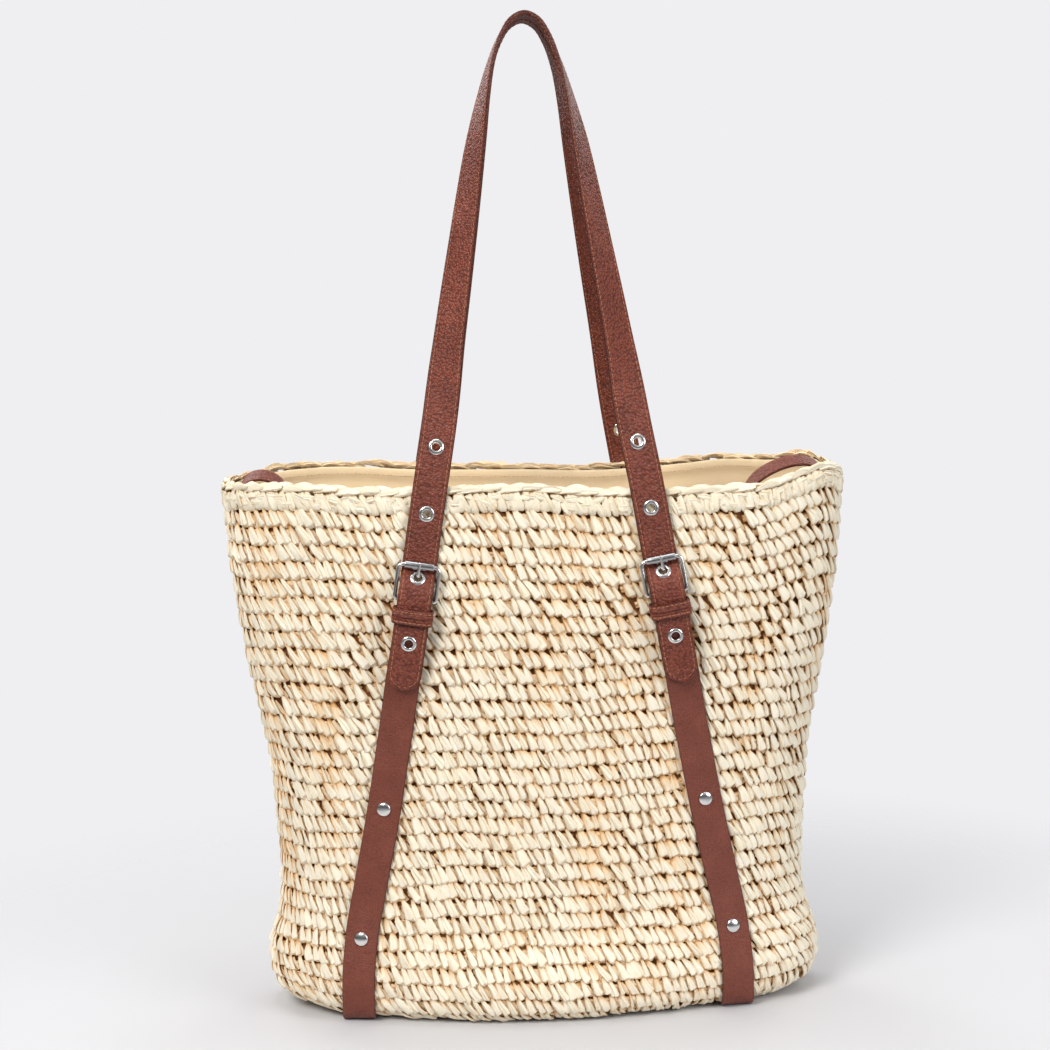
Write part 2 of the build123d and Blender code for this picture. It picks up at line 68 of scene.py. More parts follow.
# ---------------------------------------------------------------- the wall's outline, as in the CAD model
OUTLINE = np.array([
    (2.6, 186.0, 60.0, 2.30), (6.0, 193.0, 66.5, 2.35), (14.0, 199.5, 71.5, 2.40), (30.0, 202.5, 74.0, 2.42), (46.0, 201.0, 73.0, 2.45),
    (70.0, 195.5, 70.5, 2.48), (102.0, 194.0, 69.5, 2.50), (136.0, 196.0, 69.5, 2.52), (175.0, 198.5, 70.0, 2.56), (226.0, 205.0, 70.5, 2.62),
    (287.0, 214.5, 71.0, 2.70), (325.0, 219.5, 70.5, 2.75), (366.0, 222.5, 70.0, 2.80), (378.4, 223.5, 70.0, 2.80), (388.0, 223.5, 70.0, 2.80)])
WALL = 5.0


def hermite(ts, vals, t):
    """Monotone cubic through (ts, vals) at t, with harmonic-mean slopes."""
    ts, vals, t = np.asarray(ts, float), np.asarray(vals, float), np.asarray(t, float)
    d = np.diff(vals, axis=0) / np.diff(ts).reshape(-1, *([1] * (vals.ndim - 1)))
    l, r = d[:-1], d[1:]
    with np.errstate(divide="ignore", invalid="ignore"):
        m = np.where(l * r > 0, 2 * l * r / (l + r), 0.0)
    m = np.concatenate([d[:1], m, d[-1:]])
    i = np.clip(np.searchsorted(ts, t, side="right") - 1, 0, len(ts) - 2)
    h = ts[i + 1] - ts[i]
    s = (t - ts[i]) / h
    if vals.ndim > 1:
        s, h = s[..., None], h[..., None]
    return (2 * s**3 - 3 * s**2 + 1) * vals[i] + (s**3 - 2 * s**2 + s) * h * m[i] + (-2 * s**3 + 3 * s**2) * vals[i + 1] + (s**3 - s**2) * h * m[i + 1]


NZ, NU = 260, 900
ZT = np.concatenate([np.linspace(2.6, 30, 60), np.linspace(31.5, 388, NZ - 60)])
PROF = hermite(OUTLINE[:, 0], OUTLINE[:, 1:], ZT)
TABLE = np.zeros((NZ, NU + 1, 2))
PERIM = np.zeros(NZ)
_t = np.linspace(0, TAU, 2881)
for k, (a, b, n) in enumerate(PROF):
    c, s = np.cos(_t), np.sin(_t)
    x, y = np.sign(c) * np.abs(c) ** (2 / n) * a, np.sign(s) * np.abs(s) ** (2 / n) * b
    run = np.concatenate([[0], np.cumsum(np.hypot(np.diff(x), np.diff(y)))])
    PERIM[k] = run[-1]
    w = np.linspace(0, run[-1], NU + 1)
    TABLE[k, :, 0], TABLE[k, :, 1] = np.interp(w, run, x), np.interp(w, run, y)
_len = np.hypot(np.diff(ZT), 0.5 * (np.abs(np.diff(PROF[:, 0])) + np.abs(np.diff(PROF[:, 1]))))
VT = np.concatenate([[0], np.cumsum(_len)])
V_SIDES = float(np.interp(366.0, ZT, VT))


def smooth01(t):
    t = np.clip(t, 0, 1)
    return t * t * (3 - 2 * t)


def surf(u, z):
    """Point of the outer wall at run u (0 to 1 round the bag, from +X, anticlockwise) and height z, and the outward normal."""
    u, z = np.broadcast_arrays(np.asarray(u, float) % 1.0, np.asarray(z, float))
    zz = np.clip(z, ZT[0], ZT[-1])
    i = np.clip(np.searchsorted(ZT, zz, side="right") - 1, 0, NZ - 2)
    fz = ((zz - ZT[i]) / (ZT[i + 1] - ZT[i]))[..., None]
    j = np.clip((u * NU).astype(int), 0, NU - 1)
    fu = (u * NU - j)[..., None]
    p00, p01, p10, p11 = TABLE[i, j], TABLE[i, j + 1], TABLE[i + 1, j], TABLE[i + 1, j + 1]
    lo, hi = p00 + (p01 - p00) * fu, p10 + (p11 - p10) * fu
    xy = lo + (hi - lo) * fz
    j0, j1 = (j - 2) % NU, (j + 3) % NU
    du = TABLE[i, j1] - TABLE[i, j0]
    du = du / np.maximum(np.linalg.norm(du, axis=-1, keepdims=True), 1e-9)
    i0, i1 = np.maximum(i - 2, 0), np.minimum(i + 3, NZ - 1)
    dz = (TABLE[i1, j] - TABLE[i0, j]) / (ZT[i1] - ZT[i0])[..., None]
    tu = np.concatenate([du, np.zeros_like(du[..., :1])], -1)
    tz = np.concatenate([dz, np.ones_like(dz[..., :1])], -1)
    n = np.cross(tu, tz)
    n /= np.linalg.norm(n, axis=-1, keepdims=True)
    return np.concatenate([xy, zz[..., None]], -1), n


def z_of(v):
    return np.interp(v, VT, ZT)


# how far the slack rim stands above the plain outline, by X: front wall, then back wall
FRONT_RIM = np.array([(-223, 4.0), (-200, 5.0), (-180, 5.0), (-150, 3.0), (-110, 0.8), (-55, 2.0), (-15, 1.2), (20, -1.5), (50, -4.2), (80, -4.8), (121, -3.8), (150, -3.0), (166, -1.2), (180, 2.5), (193, 6.0), (206, 8.5), (215, 6.0), (223, 1.5)])
BACK_RIM = np.array([(-223, 4.0), (-205, 7.0), (-180, 10.0), (-151, 11.0), (-123, 9.8), (-94, 7.2), (-50, 5.5), (0, 4.2), (50, 2.4), (90, 4.0), (121, 6.5), (150, 9.0), (179, 8.0), (193, 9.5), (206, 11.0), (215, 6.5), (223, 1.5)])


def raise_corner(p):
    """The soft bag isn't the plain outline: its rim sags and rises, its ends draw in, and its bottom is fuller between the straps and rounder at the corners."""
    p = np.array(p, float)
    x, y, z = p[..., 0].copy(), p[..., 1].copy(), p[..., 2].copy()
    back = smooth01((y + 38) / 76)
    lift = hermite(FRONT_RIM[:, 0], FRONT_RIM[:, 1], x) * (1 - back) + hermite(BACK_RIM[:, 0], BACK_RIM[:, 1], x) * back
    ax = np.abs(x)
    corner = smooth01((ax - 140) / 55) * smooth01((58 - z) / 52)
    p[..., 2] = z + smooth01((z - 215) / 150) * lift + np.where(x > 0, 3.0, 6.5) * corner
    waist = smooth01((z - 40) / 55) * smooth01((262 - z) / 90)
    p[..., 0] = x - np.sign(x) * smooth01((ax - 138) / 55) * (3.6 * waist + np.where(x > 0, 0.2, 1.8) * smooth01((60 - z) / 40))
    belly = np.clip(1 - (x / 112.0) ** 2, 0, 1) ** 1.5 * smooth01((66 - z) / 50) * smooth01((np.abs(y) - 18) / 40)
    p[..., 1] = y + np.sign(y) * 8.5 * belly
    p[..., 2] -= 0.3 * belly * smooth01((26 - z) / 20)
    return p


# ---------------------------------------------------------------- mesh helpers
def grid(m, k, loop=False, wrap=True):
    i = np.arange(m if loop else m - 1)[:, None]
    j = np.arange(k if wrap else k - 1)[None, :]
    a, b = i * k + j, i * k + (j + 1) % k
    c, d = ((i + 1) % m) * k + (j + 1) % k, ((i + 1) % m) * k + j
    return np.stack([a, b, c, d], -1).reshape(-1, 4)


class Bag:
    """Collects closed shapes into one mesh."""

    def __init__(self):
        self.v, self.q, self.t, self.uv, self.att, self.n = [], [], [], [], {}, 0

    def add(self, v, quads, tris=(), uv=None, **att):
        v = np.asarray(v, float).reshape(-1, 3)
        self.v.append(v)
        self.q.append(np.asarray(quads, int).reshape(-1, 4) + self.n)
        self.t.append(np.asarray(tris, int).reshape(-1, 3) + self.n)
        self.uv.append(np.zeros((len(v), 2)) if uv is None else np.asarray(uv, float).reshape(-1, 2))
        for k, a in att.items():
            self.att.setdefault(k, []).append(np.broadcast_to(np.asarray(a, float), (len(v),)) if np.ndim(a) == 0 else np.asarray(a, float).reshape(-1))
        self.n += len(v)
        return self

    def make(self, name, material, slot=None, sharp=None, fix=False):
        v, q, t, uv = (np.concatenate(x) for x in (self.v, self.q, self.t, self.uv))
        me = bpy.data.meshes.new(name)
        me.from_pydata((v * MM).tolist(), [], q.tolist() + t.tolist())
        loops = np.concatenate([q.ravel(), t.ravel()])
        layer = me.uv_layers.new(name="UVMap")
        layer.data.foreach_set("uv", uv[loops].astype(np.float32).ravel())
        for k, a in self.att.items():
            me.attributes.new(k, "FLOAT", "POINT").data.foreach_set("value", np.concatenate(a).astype(np.float32))
        me.polygons.foreach_set("use_smooth", np.ones(len(q) + len(t), bool))
        if fix:
            bm = bmesh.new()
            bm.from_mesh(me)
            bmesh.ops.recalc_face_normals(bm, faces=bm.faces)
            bm.to_mesh(me)
            bm.free()
        if sharp:
            me.set_sharp_from_angle(angle=math.radians(sharp))
        me.materials.append(material)
        me.update()
        ob = bpy.data.objects.new(name, me)
        bpy.context.scene.collection.objects.link(ob)
        return ob


def unit(v):
    return v / np.maximum(np.linalg.norm(v, axis=-1, keepdims=True), 1e-12)


def curve_through(points, step=2.5, closed=False, power=0.5):
    """Smooth centripetal curve through the points, sampled evenly; extra columns ride along."""
    p = np.asarray(points, float)
    q = np.vstack([p[-1], p, p[:2]]) if closed else np.vstack([2 * p[0] - p[1], p, 2 * p[-1] - p[-2]])
    out = []
    for i in range(1, len(q) - 2):
        p0, p1, p2, p3 = q[i - 1], q[i], q[i + 1], q[i + 2]
        d = [max(np.linalg.norm((b - a)[:3]) ** power, 1e-6) for a, b in ((p0, p1), (p1, p2), (p2, p3))]
        t0, t1 = 0.0, d[0]
        t2 = t1 + d[1]
        t3 = t2 + d[2]
        t = np.linspace(t1, t2, 24, endpoint=False)[:, None]
        a1 = (t1 - t) / (t1 - t0) * p0 + (t - t0) / (t1 - t0) * p1
        a2 = (t2 - t) / (t2 - t1) * p1 + (t - t1) / (t2 - t1) * p2
        a3 = (t3 - t) / (t3 - t2) * p2 + (t - t2) / (t3 - t2) * p3
        b1 = (t2 - t) / (t2 - t0) * a1 + (t - t0) / (t2 - t0) * a2
        b2 = (t3 - t) / (t3 - t1) * a2 + (t - t1) / (t3 - t1) * a3
        out.append((t2 - t) / (t2 - t1) * b1 + (t - t1) / (t2 - t1) * b2)
    out = np.vstack(out + [p[:1] if closed else p[-1:]])
    run = np.concatenate([[0], np.cumsum(np.linalg.norm(np.diff(out[:, :3], axis=0), axis=1))])
    m = max(4, int(round(run[-1] / step)) + 1)
    w = np.linspace(0, run[-1], m)
    res = np.stack([np.interp(w, run, out[:, k]) for k in range(out.shape[1])], 1)
    return (res[:-1] if closed else res), w


def tangents(p, closed=False):
    if closed:
        return unit(np.roll(p, -1, 0) - np.roll(p, 1, 0))
    t = np.empty_like(p)
    t[1:-1] = p[2:] - p[:-2]
    t[0], t[-1] = p[1] - p[0], p[-1] - p[-2]
    return unit(t)


def tube(bag, p, r, k=12, closed=False, ref=(0, 0, 1), flat=1.0, round_ends=True, **att):
    """Round bar along points p with radius r (number or one per point); ends are domed."""
    p = np.asarray(p, float)
    r = np.broadcast_to(np.asarray(r, float), (len(p),)).copy()
    if not closed and round_ends:
        t0, t1 = unit(p[1] - p[0]), unit(p[-1] - p[-2])
        a = np.radians([82, 60, 36, 14])
        head = [p[0] - t0 * r[0] * (math.sin(x)) for x in a]
        tail = [p[-1] + t1 * r[-1] * (math.sin(x)) for x in a[::-1]]
        r = np.concatenate([r[0] * np.cos(a), r, r[-1] * np.cos(a[::-1])])
        p = np.vstack([head, p, tail])
    t = tangents(p, closed)
    n = np.asarray(ref, float)
    nn = unit(n - t * (t @ n)[:, None])
    s = np.cross(nn, t)
    ang = np.arange(k) * TAU / k
    v = p[:, None] + s[:, None] * (np.cos(ang)[None, :, None] * r[:, None, None]) + nn[:, None] * (np.sin(ang)[None, :, None] * r[:, None, None] * flat)
    m = len(p)
    run = np.concatenate([[0], np.cumsum(np.linalg.norm(np.diff(p, axis=0), axis=1))])
    uv = np.stack(np.broadcast_arrays(run[:, None] * 0.001, (ang * np.mean(r) * 0.001)[None, :]), -1).reshape(-1, 2)
    quads = grid(m, k, closed)
    if closed:
        return bag.add(v, quads, (), uv, **att)
    v = np.vstack([v.reshape(-1, 3), p[:1], p[-1:]])
    uv = np.vstack([uv, uv[:1], uv[-1:]])
    j = np.arange(k)
    tris = np.vstack([np.stack([(j + 1) % k, j, np.full(k, m * k)], 1), np.stack([(m - 1) * k + j, (m - 1) * k + (j + 1) % k, np.full(k, m * k + 1)], 1)])
    return bag.add(v, quads, tris, uv, **att)


def lathe(bag, profile, origin, axis, seg=32, xdir=None, **att):
    """Turned shape: profile of (radius, height) points, closed on itself or ending on the axis at both ends."""
    prof = np.asarray(profile, float)
    z = unit(np.asarray(axis, float))
    x = np.asarray((1, 0, 0) if xdir is None else xdir, float)
    if abs(x @ z) > 0.9:
        x = np.array((0, 1.0, 0))
    x = unit(x - z * (x @ z))
    y = np.cross(z, x)
    on_axis = prof[0, 0] < 1e-6 and prof[-1, 0] < 1e-6
    body = prof[1:-1] if on_axis else prof
    ang = np.arange(seg) * TAU / seg
    ring = np.cos(ang)[:, None] * x + np.sin(ang)[:, None] * y
    o = np.asarray(origin, float)
    v = (o + body[:, None, 1:2] * z + body[:, None, 0:1] * ring[None]).reshape(-1, 3)
    m, k = len(body), seg
    tris = ()
    quads = grid(m, k, loop=not on_axis)
    if on_axis:
        v = np.vstack([v, [o + prof[0, 1] * z], [o + prof[-1, 1] * z]])
        j = np.arange(k)
        tris = np.vstack([np.stack([(j + 1) % k, j, np.full(k, m * k)], 1), np.stack([(m - 1) * k + j, (m - 1) * k + (j + 1) % k, np.full(k, m * k + 1)], 1)])
    return bag.add(v, quads, tris, None, **att)


# ---------------------------------------------------------------- materials
def material(name):
    m = bpy.data.materials.new(name)
    m.use_nodes = True
    nt = m.node_tree
    nt.nodes.clear()
    out = nt.nodes.new("ShaderNodeOutputMaterial")
    bsdf = nt.nodes.new("ShaderNodeBsdfPrincipled")
    nt.links.new(bsdf.outputs["BSDF"], out.inputs["Surface"])
    return m, nt, bsdf


def node(nt, kind, **props):
    n = nt.nodes.new(kind)
    for k, v in props.items():
        if k in n.inputs:
            n.inputs[k].default_value = v
        else:
            setattr(n, k, v)
    return n


def mix(nt, a, b, f, mode="MIX"):
    n = nt.nodes.new("ShaderNodeMix")
    n.data_type, n.blend_type = "RGBA", mode
    for sock, val in ((n.inputs[0], f), (n.inputs[6], a), (n.inputs[7], b)):
        if isinstance(val, bpy.types.NodeSocket):
            nt.links.new(val, sock)
        else:
            sock.default_value = val if not isinstance(val, tuple) else (*val, 1.0)
    return n.outputs[2]


def calc(nt, op, a, b=0.0, c=0.0, clamp=False):
    n = nt.nodes.new("ShaderNodeMath")
    n.operation, n.use_clamp = op, clamp
    for i, val in enumerate((a, b, c)):
        if isinstance(val, bpy.types.NodeSocket):
            nt.links.new(val, n.inputs[i])
        else:
            n.inputs[i].default_value = val
    return n.outputs[0]


def mapped(nt, scale, source="UV"):
    tc = nt.nodes.new("ShaderNodeTexCoord")
    mp = nt.nodes.new("ShaderNodeMapping")
    mp.inputs["Scale"].default_value = scale
    nt.links.new(tc.outputs[source], mp.inputs["Vector"])
    return mp.outputs["Vector"]


def noise(nt, vec, scale, detail=3.0, rough=0.55, dist=0.0):
    n = node(nt, "ShaderNodeTexNoise", Scale=scale, Detail=detail, Roughness=rough, Distortion=dist)
    nt.links.new(vec, n.inputs["Vector"])
    return n.outputs["Fac"]


def bump(nt, bsdf, height, strength, distance, normal=None):
    b = node(nt, "ShaderNodeBump", Strength=strength, Distance=distance)
    nt.links.new(height, b.inputs["Height"])
    if normal is not None:
        nt.links.new(normal, b.inputs["Normal"])
    nt.links.new(b.outputs["Normal"], bsdf.inputs["Normal"])
    return b.outputs["Normal"]


def attribute(nt, name):
    n = nt.nodes.new("ShaderNodeAttribute")
    n.attribute_name = name
    return n.outputs["Fac"]


def straw_material(name, top, tan_shade, deep_shade, rough=0.55):
    m, nt, bsdf = material(name)
    vec = mapped(nt, (1.0, 1.0, 1.0))
    streak_map = mapped(nt, (9.0, 0.55, 1.0))
    fine_map = mapped(nt, (26.0, 1.2, 1.0))
    streak = noise(nt, streak_map, 1.0, 3.0, 0.6, 0.35)
    fine = noise(nt, fine_map, 1.0, 2.0, 0.6)
    depth, edge, tint = attribute(nt, "depth"), attribute(nt, "edge"), attribute(nt, "tint")
    col = mix(nt, top, tuple(c * k for c, k in zip(top, (0.93, 0.84, 0.66))), calc(nt, "MULTIPLY", calc(nt, "SUBTRACT", streak, 0.42, clamp=True), 2.4, clamp=True))
    col = mix(nt, col, tuple(min(1.0, c * 1.06) for c in top), calc(nt, "MULTIPLY", tint, 0.5, clamp=True))
    # painted shade: the sides of each strand, marked by the edge attribute, are mixed towards the tan colour
    col = mix(nt, col, tan_shade, calc(nt, "MULTIPLY", calc(nt, "POWER", edge, 1.4), 0.92, clamp=True))
    # painted shade: the lower the depth attribute, the further the colour goes towards tan and then towards the dark
    # deep colour, standing in for shade and warm bounced light down in the crochet
    shade = calc(nt, "SUBTRACT", 1.0, depth, clamp=True)
    col = mix(nt, col, tan_shade, calc(nt, "MULTIPLY", shade, 1.9, clamp=True))
    col = mix(nt, col, deep_shade, calc(nt, "MULTIPLY", calc(nt, "SUBTRACT", shade, 0.36, clamp=True), 2.3, clamp=True))
    nt.links.new(col, bsdf.inputs["Base Color"])
    r = calc(nt, "MULTIPLY_ADD", streak, 0.22, rough - 0.1)
    nt.links.new(r, bsdf.inputs["Roughness"])
    bsdf.inputs["Specular IOR Level"].default_value = 0.42
    h = calc(nt, "ADD", calc(nt, "MULTIPLY", streak, 0.8), calc(nt, "MULTIPLY", fine, 0.45))
    bump(nt, bsdf, h, 0.85, 0.0011)
    return m


def leather_material(name, colour, dark, light, pebble, strength, rough, crease_shade, spec):
    m, nt, bsdf = material(name)
    vec = mapped(nt, (1.0, 1.0, 1.0))
    vor = node(nt, "ShaderNodeTexVoronoi", Scale=pebble, Randomness=1.0)
    vor.feature = "F1"
    warp = node(nt, "ShaderNodeTexNoise", Scale=pebble * 0.5, Detail=2.0)
    nt.links.new(vec, warp.inputs["Vector"])
    vm = nt.nodes.new("ShaderNodeVectorMath")
    vm.operation = "MULTIPLY_ADD"
    nt.links.new(warp.outputs["Color"], vm.inputs[0])
    vm.inputs[1].default_value = (0.9 / pebble, 0.9 / pebble, 0.0)
    nt.links.new(vec, vm.inputs[2])
    nt.links.new(vm.outputs[0], vor.inputs["Vector"])
    big = noise(nt, vec, pebble * 0.055, 4.0, 0.6)
    grain = noise(nt, vec, pebble * 2.6, 2.0, 0.5)
    cell = vor.outputs["Distance"]
    crease = calc(nt, "MULTIPLY", calc(nt, "SUBTRACT", cell, 0.42, clamp=True), 2.2, clamp=True)
    col = mix(nt, colour, dark, calc(nt, "MULTIPLY", calc(nt, "SUBTRACT", big, 0.40, clamp=True), 2.2, clamp=True))
    col = mix(nt, col, light, calc(nt, "MULTIPLY", calc(nt, "SUBTRACT", 0.46, big, clamp=True), 2.6, clamp=True))
    # painted shade: the grain's valleys, where the bump sinks, are darkened towards a very dark brown
    col = mix(nt, col, tuple(c * 0.40 for c in dark), calc(nt, "MULTIPLY", crease, crease_shade, clamp=True))
    wear = attribute(nt, "wear")
    col = mix(nt, col, tuple(c * 0.62 for c in dark), calc(nt, "MULTIPLY", wear, 0.9, clamp=True))
    nt.links.new(col, bsdf.inputs["Base Color"])
    nt.links.new(calc(nt, "MULTIPLY_ADD", crease, 0.22, calc(nt, "MULTIPLY_ADD", big, 0.16, rough - 0.08)), bsdf.inputs["Roughness"])
    bsdf.inputs["Specular IOR Level"].default_value = spec
    h = calc(nt, "MULTIPLY_ADD", cell, -1.0, calc(nt, "MULTIPLY", grain, 0.25))
    bump(nt, bsdf, h, strength, 0.0011)
    return m


def cloth_material():
    m, nt, bsdf = material("lining_cloth")
    vec = mapped(nt, (1.0, 1.0, 1.0))
    w1 = node(nt, "ShaderNodeTexWave", Scale=480.0, Distortion=1.2, Detail=1.0)
    w1.bands_direction = "X"
    w2 = node(nt, "ShaderNodeTexWave", Scale=480.0, Distortion=1.2, Detail=1.0)
    w2.bands_direction = "Y"
    for w in (w1, w2):
        nt.links.new(vec, w.inputs["Vector"])
    weave = calc(nt, "MULTIPLY", w1.outputs["Fac"], w2.outputs["Fac"])
    big = noise(nt, vec, 14.0, 4.0, 0.6)
    slub = noise(nt, mapped(nt, (30.0, 900.0, 1.0)), 1.0, 2.0, 0.5)
    col = mix(nt, (0.93, 0.76, 0.50), (0.86, 0.66, 0.40), calc(nt, "MULTIPLY", calc(nt, "SUBTRACT", big, 0.4, clamp=True), 2.4, clamp=True))
    col = mix(nt, col, (0.76, 0.55, 0.32), calc(nt, "MULTIPLY", calc(nt, "SUBTRACT", slub, 0.55, clamp=True), 0.9, clamp=True))
    col = mix(nt, col, (0.92, 0.78, 0.58), calc(nt, "MULTIPLY", weave, 0.28, clamp=True))
    nt.links.new(col, bsdf.inputs["Base Color"])
    nt.links.new(calc(nt, "MULTIPLY_ADD", slub, 0.12, 0.78), bsdf.inputs["Roughness"])
    bsdf.inputs["Sheen Weight"].default_value = 0.15
    bump(nt, bsdf, calc(nt, "MULTIPLY_ADD", weave, 0.7, calc(nt, "MULTIPLY", slub, 0.4)), 0.5, 0.0004)
    return m


def thread_material(name, colour):
    m, nt, bsdf = material(name)
    vec = mapped(nt, (1.0, 1.0, 1.0), "Object")
    tw = node(nt, "ShaderNodeTexWave", Scale=260.0, Distortion=2.0, Detail=1.0)
    tw.bands_direction = "DIAGONAL"
    nt.links.new(vec, tw.inputs["Vector"])
    big = noise(nt, vec, 60.0, 2.0)
    col = mix(nt, colour, tuple(c * 0.55 for c in colour), calc(nt, "MULTIPLY", tw.outputs["Fac"], 0.6))
    col = mix(nt, col, tuple(min(1, c * 1.35) for c in colour), calc(nt, "MULTIPLY", calc(nt, "SUBTRACT", big, 0.5, clamp=True), 2.0, clamp=True))
    nt.links.new(col, bsdf.inputs["Base Color"])
    nt.links.new(calc(nt, "MULTIPLY_ADD", big, 0.2, 0.5), bsdf.inputs["Roughness"])
    bump(nt, bsdf, tw.outputs["Fac"], 0.6, 0.0002)
    return m


def metal_material(name, colour, rough):
    m, nt, bsdf = material(name)
    vec = mapped(nt, (1.0, 1.0, 1.0), "Object")
    fine = noise(nt, vec, 1400.0, 2.0, 0.6)
    big = noise(nt, vec, 160.0, 3.0, 0.6)
    scratch = noise(nt, mapped(nt, (300.0, 300.0, 3200.0), "Object"), 1.0, 2.0, 0.5)
    col = mix(nt, colour, tuple(c * 0.80 for c in colour), calc(nt, "MULTIPLY", calc(nt, "SUBTRACT", big, 0.5, clamp=True), 2.4, clamp=True))
    nt.links.new(col, bsdf.inputs["Base Color"])
    bsdf.inputs["Metallic"].default_value = 1.0
    nt.links.new(calc(nt, "MULTIPLY_ADD", scratch, 0.14, calc(nt, "MULTIPLY_ADD", big, 0.10, rough - 0.08)), bsdf.inputs["Roughness"])
    bump(nt, bsdf, calc(nt, "ADD", fine, scratch), 0.12, 0.00008)
    return m


# the second and third colours of both straws are painted shade: tan for the strands' sides and sunken parts, deep for
# the crochet's darkest hollows
STRAW = straw_material("paper_straw", (0.94, 0.87, 0.715), (0.86, 0.51, 0.20), (0.30, 0.105, 0.024))
STRAW_RIM = straw_material("paper_straw_rim", (0.94, 0.86, 0.69), (0.84, 0.55, 0.26), (0.32, 0.15, 0.05))
LEATHER = leather_material("handle_leather", (0.215, 0.043, 0.021), (0.140, 0.026, 0.012), (0.300, 0.076, 0.041), 560.0, 0.85, 0.40, 0.7, 0.42)
STRAP_LEATHER = leather_material("strap_leather", (0.200, 0.048, 0.027), (0.155, 0.035, 0.019), (0.250, 0.068, 0.041), 900.0, 0.5, 0.40, 0.22, 0.4)
CLOTH = cloth_material()
THREAD = thread_material("stitch_thread", (0.40, 0.155, 0.080))
LINING_THREAD = thread_material("lining_thread", (0.70, 0.52, 0.32))
CHROME = metal_material("nickel_plate", (0.80, 0.79, 0.78), 0.15)
# painted reflection: the roller is a darker copy of the nickel plate, standing in for the dark surroundings it reflects
ROLLER_METAL_DARKENED = metal_material("roller_nickel_painted_dark", (0.47, 0.47, 0.48), 0.20)


# dark brown painted shade: seen through the holes between stitches, it stands in for the shadowed inner side of the
# crochet and the lining behind it
def shade_backing_material():
    m, nt, bsdf = material("straw_inner_painted_shade")
    vec = mapped(nt, (1.0, 1.0, 1.0))
    n1 = noise(nt, vec, 160.0, 3.0, 0.6)
    w = node(nt, "ShaderNodeTexWave", Scale=22.0, Distortion=3.0, Detail=2.0)
    w.bands_direction = "DIAGONAL"
    nt.links.new(vec, w.inputs["Vector"])
    col = mix(nt, (0.30, 0.105, 0.026), (0.15, 0.048, 0.012), n1)
    col = mix(nt, col, (0.36, 0.17, 0.065), calc(nt, "MULTIPLY", w.outputs["Fac"], 0.35))
    nt.links.new(col, bsdf.inputs["Base Color"])
    nt.links.new(calc(nt, "MULTIPLY_ADD", n1, 0.1, 0.75), bsdf.inputs["Roughness"])
    bump(nt, bsdf, calc(nt, "ADD", n1, w.outputs["Fac"]), 0.7, 0.001)
    return m


SHADE_BACKING = shade_backing_material()

# ---------------------------------------------------------------- base strap centre line, as in the CAD model
STRAP_LINE = [(96.3, 256.5), (98.2, 245.7), (100.4, 232.0), (103.2, 215.0), (107.6, 190.0), (111.3, 169.0), (115.8, 145.0),
              (121.4, 118.0), (126.8, 92.0), (131.2, 71.0), (133.6, 54.0), (135.2, 38.0), (135.8, 26.0)]
BAR = (83.5, 76.0, 330.5)
TILT = math.radians(9.5)
CT, ST = math.cos(TILT), math.sin(TILT)


def to_world(y, z, x=0.0):
    return np.array([BAR[0] + x * CT - z * ST, -BAR[1] + y, BAR[2] + x * ST + z * CT])


def outline_at(z):
    return hermite(OUTLINE[:13, 0], OUTLINE[:13, 1:], np.array([z]))[0]


def wall_y(x, z):
    a, b, n = outline_at(z)
    return b * (1 - (abs(x) / a) ** n) ** (1 / n)


def outward(x, y, z):
    a, b, n = outline_at(z)
    g = np.array([abs(x) ** (n - 1) / a**n, abs(y) ** (n - 1) / b**n])
    g /= np.linalg.norm(g)
    return g[0], -g[1]


strap_path, strap_w = [to_world(1.2, -60.0)], [np.array([CT, 0, ST])]
for x, z in STRAP_LINE:
    if z > 240:
        y = -{256.5: 72.4, 245.7: 71.1}[z]
        nx, ny = outward(x, wall_y(x, z), z)
        f = 0.5 if z > 250 else 0.75
        nx = nx * f
        ny = -math.sqrt(1 - nx**2)
    else:
        ys = wall_y(x, z)
        nx, ny = outward(x, ys, z)
        off = 1.8
        y = -(ys + off * abs(ny)) - (0.35 if z > 225 else 0.0) - off * (1 / abs(ny) - abs(ny))
    strap_path.append(np.array([x, y, z]))
    strap_w.append(np.array([-ny, nx, 0.0]))
ang = math.atan2(strap_w[-1][1], strap_w[-1][0])
for x, y, z, f in ((136.0, -60.6, 15.5, 0.95), (136.0, -58.4, 8.6, 0.8), (136.0, -53.8, 3.4, 0.5), (136.0, -46.5, 1.0, 0.12), (136.0, -30.0, 1.0, 0.0), (136.0, 0.0, 1.0, 0.0)):
    strap_path.append(np.array([x, y, z]))
    strap_w.append(np.array([math.cos(ang * f), math.sin(ang * f), 0.0]))
strap_path, strap_w = np.array(strap_path), np.array(strap_w)
_zs = strap_path[:-3][::-1]
STRAP_X = lambda z: np.interp(z, np.concatenate([[0], _zs[:, 2], [330.5, 420]]), np.concatenate([[136], _zs[:, 0], [83.5, 70]]))


def press(p, depth):
    """The crochet is pressed flat where a leather strap lies on it."""
    d = np.abs(np.abs(p[..., 0]) - STRAP_X(p[..., 2]))
    face = smooth01((np.abs(p[..., 1]) - 20) / 15)
    limit = -0.5 + 9 * smooth01((d - 12.6) / 5.5) + 9 * (1 - face)
    return np.minimum(depth, limit)


# ---------------------------------------------------------------- crochet strands
LEAF = np.array([(-1.0, -0.05), (-0.72, -0.70), (0.0, -0.85), (0.72, -0.70), (1.0, -0.05), (0.70, 0.80), (0.26, 0.62), (-0.16, 0.98), (-0.62, 0.66)])


